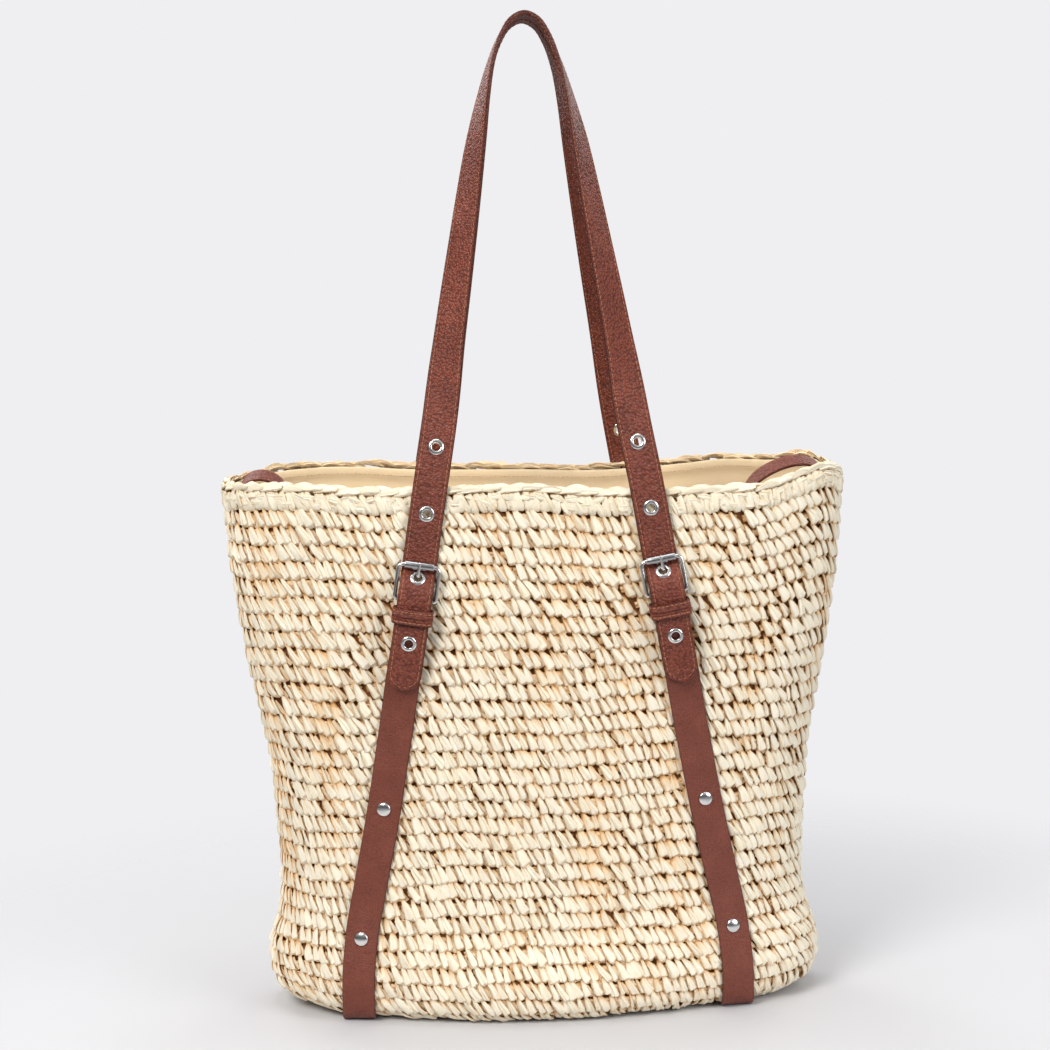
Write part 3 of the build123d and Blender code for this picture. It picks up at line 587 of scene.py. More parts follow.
def strands(bag, u, z, depth, width, thick, roll, rng, lift=True, shade=0.0, follow=None):
    """Flat crinkled paper strands. Each argument is (strands, rings); roll turns the strand about its own run."""
    ns, m = u.shape
    p, n = surf(u, z)
    d = press(p, depth)
    p = p + n * d[..., None]
    if follow is not None:
        p = follow(p)
    t = np.empty_like(p)
    t[:, 1:-1] = p[:, 2:] - p[:, :-2]
    t[:, 0], t[:, -1] = p[:, 1] - p[:, 0], p[:, -1] - p[:, -2]
    t = unit(t)
    nn = unit(n - t * np.sum(n * t, -1, keepdims=True))
    s = np.cross(nn, t)
    cr, sr = np.cos(roll)[..., None], np.sin(roll)[..., None]
    s, nn = s * cr + nn * sr, nn * cr - s * sr
    k = len(LEAF)
    sec = np.broadcast_to(LEAF, (ns, k, 2)).copy()
    sec[:, 5:, 1] += rng.uniform(-0.42, 0.28, (ns, 4))
    sec[:, 5:, 0] += rng.uniform(-0.12, 0.12, (ns, 4))
    flip = np.where(rng.random((ns, 1)) < 0.5, -1.0, 1.0)
    sec[:, 5:, 1] = np.where(flip < 0, sec[:, :4:-1, 1], sec[:, 5:, 1])
    ring_j = 1 + rng.uniform(-0.13, 0.13, (ns, m, k))
    off_s = sec[:, None, :, 0] * width[..., None] * ring_j / 2
    off_n = sec[:, None, :, 1] * thick[..., None] * ring_j / 2
    v = p[:, :, None] + s[:, :, None] * off_s[..., None] + nn[:, :, None] * off_n[..., None]
    if lift:
        v = raise_corner(v)
    # painted shade: how deep a point lies in the crochet becomes the depth attribute and the section's sides become the
    # edge attribute, and both darken the straw; a negative shade lifts a strand out of it
    vertex_depth = d[..., None] + off_n * cr + off_s * sr * 1.0
    dep = np.clip((vertex_depth + 3.4) / 3.6, 0, 1) - shade
    edge = np.broadcast_to(np.clip(np.abs(LEAF[:, 0]) * 1.15 - 0.25 - 0.6 * (LEAF[:, 1] > 0.5), 0, 1), v.shape[:-1])
    run = np.concatenate([np.zeros((ns, 1)), np.cumsum(np.linalg.norm(np.diff(p, axis=1), axis=-1), 1)], 1)
    uv_u = np.broadcast_to((np.cumsum(np.concatenate([[0], np.linalg.norm(np.diff(LEAF, axis=0), axis=1)])) / 6.2), (ns, m, k))
    uv_v = np.broadcast_to((run * 0.1 + rng.uniform(0, 50, (ns, 1)))[..., None], (ns, m, k))
    tint = np.broadcast_to(rng.uniform(-0.6, 1.0, (ns, 1, 1)), (ns, m, k))
    per = m * k + 2
    V = np.zeros((ns, per, 3))
    V[:, :m * k] = v.reshape(ns, m * k, 3)
    V[:, m * k] = v[:, 0].mean(1)
    V[:, m * k + 1] = v[:, -1].mean(1)

    def pack(a):
        out = np.zeros((ns, per))
        out[:, :m * k] = a.reshape(ns, m * k)
        out[:, m * k], out[:, m * k + 1] = a[:, 0].mean(1), a[:, -1].mean(1)
        return out.reshape(-1)

    base = (np.arange(ns) * per)[:, None, None]
    quads = (grid(m, k)[None] + base).reshape(-1, 4)
    j = np.arange(k)
    tri = np.vstack([np.stack([(j + 1) % k, j, np.full(k, m * k)], 1), np.stack([(m - 1) * k + j, (m - 1) * k + (j + 1) % k, np.full(k, m * k + 1)], 1)])
    tris = (tri[None] + base).reshape(-1, 3)
    bag.add(V.reshape(-1, 3), quads, tris, np.stack([pack(uv_u), pack(uv_v)], -1), depth=pack(dep), edge=pack(edge), tint=pack(tint))
    return bag


def wave(rng, count, low, high, amount):
    f = rng.integers(low, high, count)
    ph, am = rng.uniform(0, TAU, count), rng.uniform(0.5, 1.0, count)
    dr = rng.uniform(-0.35, 0.35, count)
    am = am / np.sqrt(np.sum(am**2)) * amount
    return lambda u, r: sum(a * np.sin(TAU * k * u + p + d * r) for k, p, a, d in zip(f, ph, am, dr))


N_ST, ROWS = 76, 31
ROW_H = V_SIDES / ROWS
row_wave = wave(np.random.default_rng(3), 6, 2, 15, 1.25)
side_wave = wave(np.random.default_rng(4), 7, 3, 19, 0.055)
lump = wave(np.random.default_rng(5), 7, 4, 23, 0.55)


def stitch_rows(rows, bag, rng):
    """Single crochet worked in the round: each stitch shows a broad and a narrow leaf of straw, tops tucked under the row above."""
    m = 8
    t = np.linspace(0, 1, m)[None]
    for r in rows:
        i = np.arange(N_ST)
        drift = 0.37 * r + side_wave(i / N_ST, r) * 3.0
        size = rng.normal(0, 0.06, N_ST)
        u0 = (i + drift + size) / N_ST
        v0 = (r + 0.5) * ROW_H + row_wave(u0, r) * min(1.0, r / 3) + rng.normal(0, 0.42, N_ST)
        lum = lump(u0, r) + rng.normal(0, 0.25, N_ST)
        p = 1.0 / N_ST
        # broad leaf
        lean = rng.normal(0, 0.07, (N_ST, 1))
        curl = rng.normal(0, 0.05, (N_ST, 1))
        xa = -0.44 + 0.66 * t ** 1.1 + lean * (0.5 - t) * 2 + curl * np.sin(math.pi * t)
        ya = 0.62 - 1.24 * t + rng.normal(0, 0.03, (N_ST, 1))
        da = np.interp(t, [0, 0.14, 0.35, 0.62, 0.84, 0.94, 1.0], [-2.9, -1.5, -0.25, 0.30, 0.50, 0.0, -1.9]) + lum[:, None]
        wa = np.interp(t, [0, 0.15, 0.42, 0.75, 0.93, 1], [2.3, 3.3, 5.6, 6.9, 7.1, 5.2]) * (1 + rng.normal(0, 0.14, (N_ST, 1)))
        ta = np.interp(t, [0, 0.3, 0.8, 1], [1.4, 1.9, 2.2, 1.5]) * (1 + rng.normal(0, 0.12, (N_ST, 1)))
        roll = rng.normal(0.08, 0.17, (N_ST, 1)) + rng.normal(0, 0.16, (N_ST, 1)) * (t - 0.5)
        strands(bag, u0[:, None] + xa * p, z_of(v0[:, None] + ya * ROW_H), da, wa, ta, roll, rng)
        # narrow leaf
        lean = rng.normal(0, 0.06, (N_ST, 1))
        xb = 0.13 + 0.50 * t ** 0.95 + lean * (0.5 - t) * 2
        yb = 0.60 - 1.21 * t + rng.normal(0, 0.03, (N_ST, 1))
        db = np.interp(t, [0, 0.12, 0.35, 0.62, 0.84, 0.94, 1.0], [-3.1, -1.8, -0.55, 0.05, 0.30, -0.2, -2.1]) + lum[:, None] + rng.normal(0, 0.18, (N_ST, 1))
        wb = np.interp(t, [0, 0.18, 0.45, 0.8, 0.93, 1], [1.9, 2.8, 4.5, 5.7, 5.9, 4.2]) * (1 + rng.normal(0, 0.16, (N_ST, 1)))
        tb = np.interp(t, [0, 0.3, 0.8, 1], [1.3, 1.8, 2.1, 1.4]) * (1 + rng.normal(0, 0.12, (N_ST, 1)))
        roll = rng.normal(-0.05, 0.20, (N_ST, 1)) + rng.normal(0, 0.16, (N_ST, 1)) * (t - 0.5)
        strands(bag, u0[:, None] + xb * p, z_of(v0[:, None] + yb * ROW_H), db, wb, tb, roll, rng)
        # inner strand whose painted tan shade shows between the leaves
        tc = np.linspace(0, 1, 5)[None]
        xc = -0.46 + 0.98 * tc
        yc = -0.06 + 0.10 * np.sin(math.pi * tc) + rng.normal(0, 0.08, (N_ST, 1))
        dc = -2.9 + 0.5 * np.sin(math.pi * tc) + 0 * lum[:, None]
        strands(bag, u0[:, None] + xc * p, z_of(v0[:, None] + yc * ROW_H), dc, np.full((N_ST, 5), 5.6), np.full((N_ST, 5), 1.8), rng.normal(0, 0.15, (N_ST, 5)), rng, shade=-0.22)
        # and two more behind them, so the slits between the leaves show painted tan shade, and only the corners by the
        # row line are open
        for x0, x1 in ((-0.16, 0.42), (0.34, 0.92)):
            xd = x0 + (x1 - x0) * tc + rng.normal(0, 0.05, (N_ST, 1))
            yd = 0.14 - 0.70 * tc + rng.normal(0, 0.07, (N_ST, 1))
            dd = -2.5 + 0.7 * np.sin(math.pi * tc) + rng.normal(0, 0.15, (N_ST, 1))
            wd = np.full((N_ST, 5), 4.6) * (1 + rng.normal(0, 0.15, (N_ST, 1)))
            strands(bag, u0[:, None] + xd * p, z_of(v0[:, None] + yd * ROW_H), dd, wd, np.full((N_ST, 5), 1.5), rng.normal(0, 0.2, (N_ST, 5)), rng, shade=-0.30)
    return bag


GROUPS = [range(0, 4), range(4, 8), range(8, 12), range(12, 16), range(16, 20), range(20, 24), range(24, 28), range(28, 31)]
side_pieces = []
for g, rows in enumerate(GROUPS):
    bag = stitch_rows(rows, Bag(), np.random.default_rng(100 + g))
    ob = bag.make(f"crochet_rounds_{g + 1}", STRAW, "straw", sharp=34)
    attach(ob, "root")
    side_pieces.append(ob)
    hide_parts("crochet_sides")


# shell just behind the stitches: a stand-in for the inner side of the crochet, which closes the gaps between them; its
# dark brown is painted shade for the holes between the stitches
def shell(insets, zs, nu, mapper=None, uv_scale=0.001):
    """Closed thin shell round the bag: outer and inner surface at the two insets, from zs[0] to zs[-1]."""
    u = np.arange(nu) / nu
    out = []
    for inset, zz in ((insets[0], zs), (insets[1], zs[::-1])):
        for z in zz:
            p, n = surf(u, np.full(nu, z))
            h = n.copy()
            h[:, 2] = 0
            h = unit(h)
            q = p - h * inset
            q[:, 2] = z
            out.append(q)
    v = np.array(out)
    if mapper is not None:
        v = mapper(v, u)
    m = len(out)
    per = np.interp(np.concatenate([zs, zs[::-1]]), ZT, PERIM)
    uv = np.stack(np.broadcast_arrays(u[None] * per[:, None] * uv_scale, np.concatenate([zs, zs[::-1]])[:, None] * uv_scale), -1)
    return v, grid(m, nu, loop=True), uv


bag = Bag()
v, q, uv = shell((4.1, 4.9), np.concatenate([np.linspace(3.4, 30, 8), np.linspace(50, 376, 16)]), 200)
bag.add(raise_corner(v), q, (), uv)
ob = bag.make("crochet_inner_side_shade", SHADE_BACKING, "straw", fix=True)
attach(ob, "root")
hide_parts("crochet_sides")

# ---------------------------------------------------------------- base: oval rounds, worked outwards
bag = Bag()
rng = np.random.default_rng(31)


def base_point(u, inset):
    """Point under the bag on the oval round at this inset from the edge of the base."""
    i0 = 0
    p = TABLE[i0, np.clip((u % 1.0 * NU).astype(int), 0, NU - 1)]
    a, b = PROF[0, 0], PROF[0, 1]
    return np.stack([p[..., 0] * (a - inset) / a, p[..., 1] * (b - inset) / b], -1)


for r in range(5):
    inset = 7 + 11.6 * r
    per = PERIM[0] * ((PROF[0, 0] - inset) / PROF[0, 0] * 0.8 + 0.2 * (PROF[0, 1] - inset) / PROF[0, 1])
    cnt = int(per / 7.0)
    for side in (0,):
        i = np.arange(cnt)
        u0 = (i + rng.normal(0, 0.08, cnt)) / cnt
        for a in range(cnt):
            tt = np.linspace(-0.55, 0.55, 6)
            ins = np.minimum(inset + 11.6 * tt, 57.0)
            uu = u0[a] + 0.35 * tt / cnt
            xy = base_point(np.full(6, uu[0]) + (uu - uu[0]), ins)
            zc = 4.6 - 1.5 * np.cos(math.pi * tt) + rng.normal(0, 0.1)
            pts = np.column_stack([xy, zc])
            w = 3.0 * np.interp(tt, [-0.55, 0, 0.55], [0.6, 1, 0.6]) * (1 + rng.normal(0, 0.08))
            t = tangents(pts)
            nn = np.array([0, 0, -1.0])
            nn = unit(nn - t * (t @ nn)[:, None])
            s = np.cross(nn, t)
            sec = LEAF * (1, 0.5)
            v = pts[:, None] + s[:, None] * (sec[None, :, 0:1] * w[:, None, None]) + nn[:, None] * (sec[None, :, 1:2] * 2.4)
            v[..., 2] = np.maximum(v[..., 2], 2.1)
            k, m = len(LEAF), 6
            V = np.vstack([v.reshape(-1, 3), v[0].mean(0)[None], v[-1].mean(0)[None]])
            j = np.arange(k)
            tri = np.vstack([np.stack([(j + 1) % k, j, np.full(k, m * k)], 1), np.stack([(m - 1) * k + j, (m - 1) * k + (j + 1) % k, np.full(k, m * k + 1)], 1)])
            # painted shade: base strands darken with height above 2.6 mm through the depth attribute, and along their
            # sides through the edge attribute
            dep = np.clip(0.9 - np.abs(V[:, 2] - 2.6) * 0.22, 0, 1)
            uvs = np.vstack([np.stack(np.broadcast_arrays((np.arange(k) / k)[None], (tt * 1.2 + a)[:, None]), -1).reshape(-1, 2), np.zeros((2, 2))])
            edge = np.concatenate([np.tile(np.clip(np.abs(LEAF[:, 0]) - 0.5, 0, 1), m), [1, 1]])
            bag.add(V, grid(m, k), tri, uvs, depth=dep, edge=edge, tint=float(rng.uniform(-0.5, 1)))
bag.v = [raise_corner(np.concatenate(bag.v))]
ob = bag.make("crochet_base_rounds", STRAW, "straw")
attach(ob, "root")
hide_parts("crochet_base")
# inner side of the base, in the same dark painted shade
bag = Bag()
u = np.arange(160) / 160
rings = []
for inset, z in ((3.0, 4.9), (3.0, 6.9), (30.0, 6.9), (54.0, 6.9), (59.0, 6.9)):
    rings.append(np.column_stack([base_point(u, min(inset, 58.5)), np.full(160, z)]))
for inset, z in ((58.5, 4.9), (54.0, 4.9), (30.0, 4.9)):
    rings.append(np.column_stack([base_point(u, inset), np.full(160, z)]))
v = np.array(rings)
uvb = v[..., :2] * 0.001
bag.add(raise_corner(v), grid(len(rings), 160, loop=True), (), uvb)
ob = bag.make("crochet_base_inner_side_shade", SHADE_BACKING, "straw", fix=True)
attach(ob, "root")
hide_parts("crochet_base")

# ---------------------------------------------------------------- rim: dense flat band and the slip-stitch edging
rng = np.random.default_rng(57)
bag = Bag()
m = 8
t = np.linspace(0, 1, m)[None]
rim_wave = wave(np.random.default_rng(8), 6, 3, 17, 0.8)
# close short stitches of the last plain round
cnt = 210
i = np.arange(cnt)
u0 = (i + rng.normal(0, 0.14, cnt)) / cnt
xa = -0.5 + 1.0 * t + rng.normal(0, 0.5, (cnt, 1)) * (t - 0.5)
za = 377.6 - 13.2 * t + rim_wave(u0, 0.3)[:, None] + rng.normal(0, 0.5, (cnt, 1))
da = np.interp(t, [0, 0.15, 0.4, 0.75, 0.9, 1.0], [-1.7, -0.5, 0.15, 0.45, 0.1, -1.5]) + rng.normal(0, 0.22, (cnt, 1))
wa = np.interp(t, [0, 0.2, 0.5, 0.85, 1], [4.6, 5.6, 6.4, 6.2, 4.2]) * (1 + rng.normal(0, 0.12, (cnt, 1)))
ta = np.interp(t, [0, 0.4, 1], [1.3, 1.7, 1.3]) * np.ones((cnt, 1))
roll = rng.normal(0.10, 0.16, (cnt, 1)) + rng.normal(0, 0.12, (cnt, 1)) * (t - 0.5)
strands(bag, u0[:, None] + xa / cnt, za, da, wa, ta, roll, rng, shade=-0.18)
# strands that cross them, nearly level
for cnt, level, spread in ((118, 374.2, 0.8), (104, 369.4, 1.0)):
    i = np.arange(cnt)
    u0 = (i + rng.normal(0, 0.2, cnt)) / cnt
    xa = (-0.60 + 1.20 * t) * (1 + rng.normal(0, 0.14, (cnt, 1)))
    za = level + rim_wave(u0, 0.9)[:, None] * 0.9 + rng.normal(0, spread, (cnt, 1)) + rng.normal(1.2, 3.0, (cnt, 1)) * (0.5 - t)
    da = np.interp(t, [0, 0.2, 0.45, 0.75, 1.0], [-1.5, 0.1, 0.6, 0.4, -1.6]) + rng.normal(0, 0.22, (cnt, 1))
    wa = np.interp(t, [0, 0.2, 0.5, 0.8, 1], [2.2, 3.8, 4.9, 4.2, 2.2]) * (1 + rng.normal(0, 0.2, (cnt, 1)))
    ta = np.interp(t, [0, 0.4, 1], [1.1, 1.5, 1.1]) * np.ones((cnt, 1))
    roll = rng.normal(0.0, 0.16, (cnt, 1)) * np.ones((1, m))
    strands(bag, u0[:, None] + xa / cnt, za, da, wa, ta, roll, rng, shade=-0.18)
ob = bag.make("rim_band_stitches", STRAW_RIM, "straw", sharp=34)
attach(ob, "root")
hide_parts("rim_band")

bag = Bag()
cnt = 74
i = np.arange(cnt)
rng = np.random.default_rng(61)
u0 = (i + rng.normal(0, 0.09, cnt)) / cnt
zb = 379.4 + rim_wave(u0, 1.1) * 0.9 + rng.normal(0, 0.35, cnt)
for leg, (d_from, d_to, z_add, tilt) in enumerate(((-1.1, 0.2, 0.0, 2.2), (-3.9, -5.2, 0.2, 1.8), (-5.4, -1.9, 1.2, -0.9))):
    xa = -0.66 + 1.26 * t + 0.33 * leg
    da = d_from + (d_to - d_from) * t + rng.normal(0, 0.25, (cnt, 1))
    za = zb[:, None] + z_add + tilt * (t - 0.5) + 1.2 * np.sin(math.pi * t) + rng.normal(0, 0.25, (cnt, 1))
    wa = np.interp(t, [0, 0.2, 0.5, 0.8, 1], [2.4, 4.8, 6.0, 5.0, 2.2]) * (1 + rng.normal(0, 0.12, (cnt, 1)))
    ta = np.interp(t, [0, 0.4, 1], [1.3, 2.2, 1.3]) * np.ones((cnt, 1))
    roll = np.full((cnt, m), (-0.22, -1.2, -0.9)[leg]) + rng.normal(0, 0.2, (cnt, 1))
    strands(bag, u0[:, None] + xa / cnt, za, da, wa, ta, roll, rng, shade=-1.0)
ob = bag.make("rim_slip_stitches", STRAW_RIM, "straw", sharp=34)
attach(ob, "root")
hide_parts("rim_edging")

# ---------------------------------------------------------------- cloth lining
lin_wave = wave(np.random.default_rng(12), 6, 2, 13, 0.9)
lin_ripple = wave(np.random.default_rng(13), 7, 9, 31, 0.35)
LIN_GAP, LIN_T = 5.9, 0.8
nu = 240
u = np.arange(nu) / nu


def lining_ring(z, inset, amp=1.0):
    p, n = surf(u, np.full(nu, z))
    h = n.copy()
    h[:, 2] = 0
    h = unit(h)
    ripple = (1.3 + lin_wave(u, z / 60.0) + lin_ripple(u, z / 45.0)) * amp * smooth01((378 - z) / 50)
    q = p - h * (inset + np.maximum(ripple, 0.0))[:, None]
    q[:, 2] = z
    return q


zs = np.concatenate([[9.5, 11.5, 15, 20, 26, 33], np.linspace(42, 366, 46), [370, 373.5]])
rings = [lining_ring(z, LIN_GAP) for z in zs]
rings += [lining_ring(377.9, LIN_GAP - 0.1), lining_ring(378.9, LIN_GAP + 0.25), lining_ring(378.9, LIN_GAP + 1.2), lining_ring(377.9, LIN_GAP + 1.6), lining_ring(372.2, LIN_GAP + 1.55), lining_ring(371.4, LIN_GAP + LIN_T + 0.05)]
rings += [lining_ring(z, LIN_GAP + LIN_T) for z in zs[::-1][2:]]
inner_last = rings[-1]
floor_c = np.array([[0.0, 0.0]])
floor_rings_top, floor_rings_low = [], []
edge0 = lining_ring(9.5, LIN_GAP + LIN_T)
for f in (0.94, 0.8, 0.6, 0.4, 0.2, 0.06):
    for lst, z in ((floor_rings_top, 9.3), (floor_rings_low, 8.5)):
        q = edge0.copy()
        q[:, 0] *= f
        q[:, 1] *= f
        q[:, 2] = z + 0.35 * lin_ripple(u, f * 9) * (0.3 if f > 0.9 else 1)
        lst.append(q)
rings += floor_rings_top + floor_rings_low[::-1]
rings.append(lining_ring(8.7, LIN_GAP + 0.5, 1.0))
v = np.array(rings)
m = len(rings)
top_i, low_i = m - 1 - len(floor_rings_low) - 1, m - 1 - len(floor_rings_low)
quads = grid(m, nu, loop=True)
keep = ~((quads[:, 0] // nu) == top_i)
quads = quads[keep]
c_top, c_low = v[top_i].mean(0), v[low_i].mean(0)
V = np.vstack([raise_corner(v).reshape(-1, 3), [c_top], [c_low]])
j = np.arange(nu)
tris = np.vstack([np.stack([top_i * nu + j, top_i * nu + (j + 1) % nu, np.full(nu, m * nu)], 1), np.stack([low_i * nu + (j + 1) % nu, low_i * nu + j, np.full(nu, m * nu + 1)], 1)])
run = np.concatenate([[0], np.cumsum(np.linalg.norm(np.diff(v, axis=0), axis=-1).mean(1))])
uvl = np.vstack([np.stack(np.broadcast_arrays((u * 0.98)[None], (run * 0.001)[:, None]), -1).reshape(-1, 2), np.zeros((2, 2))])
bag = Bag().add(V, quads, tris, uvl)
lining = bag.make("lining_cloth_bag", CLOTH, "lining_cloth", fix=True)
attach(lining, "root")
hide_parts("lining")

# hem stitching of the lining
bag = Bag()
cnt = 300
for a in range(cnt):
    uu = (a + np.array([0.12, 0.5, 0.88])) / cnt
    p, n = surf(uu, np.full(3, 373.6))
    n[:, 2] = 0
    p = raise_corner(p - unit(n) * (LIN_GAP + 1.62 + np.array([0.0, 0.15, 0.0]))[:, None])
    tube(bag, p, 0.22, k=6, round_ends=False)
hem = bag.make("lining_hem_stitching", LINING_THREAD, "lining_cloth", fix=True)
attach(hem, "root")


# ---------------------------------------------------------------- leather
def strap_section(w, h, groove, k=None):
    """Cross-section of a strap: half width w, half thickness h, pulled in along the stitch lines."""
    r = min(0.8, h * 0.85)
    xs = np.concatenate([np.linspace(-w + r, -w + 4.2, 7), np.linspace(-w + 5.5, w - 5.5, 5), np.linspace(w - 4.2, w - r, 7)])
    y = h - groove * (np.exp(-(((np.abs(xs) - (w - 2.3)) / 0.75) ** 2)) + 0.6 * smooth01((np.abs(xs) - (w - 2.3)) / 2.3))
    top = np.stack([xs[::-1], y[::-1]], 1)
    yl = y[0]
    a = np.radians([60, 30, 0, -30, -60])
    left = np.stack([-w + r - r * np.cos(a), yl - r + r * np.sin(a) + (0 if yl > r else 0)], 1)
    left[:, 1] = np.linspace(yl, -yl, 7)[1:-1]
    left[:, 0] = -w + r - r * np.sqrt(np.clip(1 - (left[:, 1] / max(yl, 1e-6)) ** 4, 0, 1))
    low = np.stack([xs, -y], 1)
    right = left[::-1] * (-1, 1)
    return np.vstack([top, left, low, right])


def strap(bag, p, n, w, half_t, groove=0.0, widths=None, closed=False):
    """Leather strap along points p with face normals n. widths are half widths per point."""
    t = tangents(p, closed)
    nn = unit(n - t * np.sum(n * t, -1, keepdims=True))
    s = np.cross(nn, t)
    sec = strap_section(w, half_t, groove)
    k, m = len(sec), len(p)
    ws = np.ones(m) if widths is None else widths / w
    v = p[:, None] + s[:, None] * (sec[None, :, 0:1] * ws[:, None, None]) + nn[:, None] * sec[None, :, 1:2]
    run = np.concatenate([[0], np.cumsum(np.linalg.norm(np.diff(p, axis=0), axis=1))])
    girth = np.concatenate([[0], np.cumsum(np.linalg.norm(np.diff(sec, axis=0), axis=1))])
    uv = np.stack(np.broadcast_arrays(run[:, None] * 0.001, girth[None] * 0.001), -1)
    wear = np.broadcast_to((np.abs(sec[:, 0]) > w - 0.55).astype(float)[None], (m, k)).copy()
    if closed:
        return bag.add(v, grid(m, k, True), (), uv, wear=wear)
    V = np.vstack([v.reshape(-1, 3), v[0].mean(0)[None], v[-1].mean(0)[None]])
    j = np.arange(k)
    tri = np.vstack([np.stack([(j + 1) % k, j, np.full(k, m * k)], 1), np.stack([(m - 1) * k + j, (m - 1) * k + (j + 1) % k, np.full(k, m * k + 1)], 1)])
    return bag.add(V, grid(m, k), tri, np.vstack([uv.reshape(-1, 2), [uv[0, 0]], [uv[-1, 0]]]), wear=np.concatenate([wear.ravel(), [1, 1]]))


def stitching(bag, p, n, line, half_t, sides=(1, -1), pitch=3.9, length=2.9, radius=0.36):
    """Thread stitches along a line of (run, offset) points on a strap whose centre line is p with normals n."""
    run = np.concatenate([[0], np.cumsum(np.linalg.norm(np.diff(p, axis=0), axis=1))])
    t = tangents(p)
    nn = unit(n - t * np.sum(n * t, -1, keepdims=True))
    s = np.cross(nn, t)
    line = np.asarray(line, float)
    lr = np.concatenate([[0], np.cumsum(np.linalg.norm(np.diff(line, axis=0), axis=1))])
    cnt = int(lr[-1] / pitch)
    for side in sides:
        for a in range(cnt):
            q = (a + 0.5) * lr[-1] / cnt + np.array([-0.5, -0.36, 0.0, 0.36, 0.5]) * length
            so = np.stack([np.interp(q, lr, line[:, 0]), np.interp(q, lr, line[:, 1])], 1)
            P = np.stack([np.interp(so[:, 0], run, p[:, c]) for c in range(3)], 1)
            N = unit(np.stack([np.interp(so[:, 0], run, nn[:, c]) for c in range(3)], 1))
            S = unit(np.stack([np.interp(so[:, 0], run, s[:, c]) for c in range(3)], 1))
            pts = P + S * so[:, 1:2] + N * side * (half_t + np.array([-0.55, -0.02, 0.06, -0.02, -0.55]) * 1.0)[:, None]
            tube(bag, pts, radius, k=6, ref=N[2] * side, flat=0.8, round_ends=False)
    return bag


def cut(obj, shapes):
    """Cuts the shapes' meshes out of obj and applies the result."""
    tool = shapes.make("cut_tool", obj.data.materials[0], fix=True)
    mod = obj.modifiers.new("cut", "BOOLEAN")
    mod.object, mod.operation, mod.solver = tool, "DIFFERENCE", "EXACT"
    deps = bpy.context.evaluated_depsgraph_get()
    me = bpy.data.meshes.new_from_object(obj.evaluated_get(deps))
    obj.modifiers.clear()
    old = obj.data
    obj.data = me
    me.name = old.name + "_mesh"
    bpy.data.meshes.remove(old)
    data = tool.data
    bpy.data.objects.remove(tool)
    bpy.data.meshes.remove(data)
    me.set_sharp_from_angle(angle=math.radians(38))


TAIL = [(4.9, 4.0), (4.7, -2.5), (-4.1, -14.5), (-5.3, -19.0), (-5.4, -24.5), (-4.35, -34.0), (-3.95, -48.0), (-2.25, -60.0), (0.1, -75.0), (1.6, -88.0)]
EYE_UP, EYE_DIR = (-0.208, -9.193), (-0.806, 0.591)
EYE_LOW, LOW_DIR = (-3.101, -53.990), (-0.990, -0.140)
HALF_HANDLE = [(73.9, 388.0, 0), (67.4, 425.0, 0), (59.4, 478.0, 27), (52.6, 520.0, 36), (47.0, 554.0, 43), (41.5, 588.0, 50),
               (35.8, 622.0, 59), (30.0, 652.0, 73), (24.0, 676.0, 83), (17.0, 694.0, 88), (9.3, 705.2, 90)]
HANDLE_HT = 1.6


def lean_y(z):
    return -(71.1 + (14.0 - 71.1) * max(0.0, z - 388.0) / (709.4 - 388.0))


half = []
for y, z in TAIL[::-1]:
    half.append((*to_world(y, z), 0.0))
half[0] = (*to_world(1.6, -88.0), 0.0)
st = to_world(4.9, 9.5)
half.append((*st, 0.0))
half += [(x, lean_y(z), z, tw) for x, z, tw in HALF_HANDLE]
full = half + [(0.0, lean_y(709.4), 709.4, 90.0)] + [(-x, y, z, tw) for x, y, z, tw in half[::-1]]
hp, hrun = curve_through(full, 1.6)
tw = np.radians(hp[:, 3])
hp = hp[:, :3]
T = tangents(hp)
front = np.array([0, -1.0, 0])
fr = unit(front - T * (T @ front)[:, None])
side = np.cross(T, fr)
hn = fr * np.cos(tw)[:, None] + side * np.sin(tw)[:, None]
# rounded strap ends: half width by distance from the tip
tip_run = np.minimum(hrun, hrun[-1] - hrun)
# add extra points close to the tips, so the ends are round
extra = 12.0 * (1 - np.cos(np.linspace(0, math.pi / 2, 12)))
s_all = np.unique(np.concatenate([extra, hrun[(hrun > 12.5) & (hrun < hrun[-1] - 12.5)], hrun[-1] - extra]))
hp2 = np.stack([np.interp(s_all, hrun, hp[:, c]) for c in range(3)], 1)
hn2 = unit(np.stack([np.interp(s_all, hrun, hn[:, c]) for c in range(3)], 1))
d_tip = np.minimum(s_all, s_all[-1] - s_all)
widths = np.where(d_tip < 12, np.sqrt(np.clip(144 - (12 - d_tip) ** 2, 0.6, None)), 12.0)
L = s_all[-1]
semi = [(12 - 9.7 * math.cos(a), 9.7 * math.sin(a)) for a in np.linspace(-math.pi / 2, math.pi / 2, 25)]
stitch_line = [(L - s, w) for s, w in semi[::-1]]
stitch_line = semi + [(L - s, w) for s, w in semi[::-1]] + [semi[0]]

EYE_H = 1.63
EYE_PROFILE = [(2.9, -EYE_H - 0.15), (3.05, -EYE_H - 0.5), (3.6, -EYE_H - 0.68), (4.6, -EYE_H - 0.55), (5.3, -EYE_H - 0.25), (5.5, -EYE_H - 0.02), (5.3, -EYE_H), (3.45, -EYE_H),
               (3.45, EYE_H), (5.3, EYE_H), (5.5, EYE_H + 0.05), (5.35, EYE_H + 0.3), (4.7, EYE_H + 0.62), (3.9, EYE_H + 0.78), (3.25, EYE_H + 0.66), (2.95, EYE_H + 0.35), (2.9, EYE_H)]


def mirror_pts(p, sx, sy):
    return np.asarray(p, float) * np.array([sx, sy, 1.0])


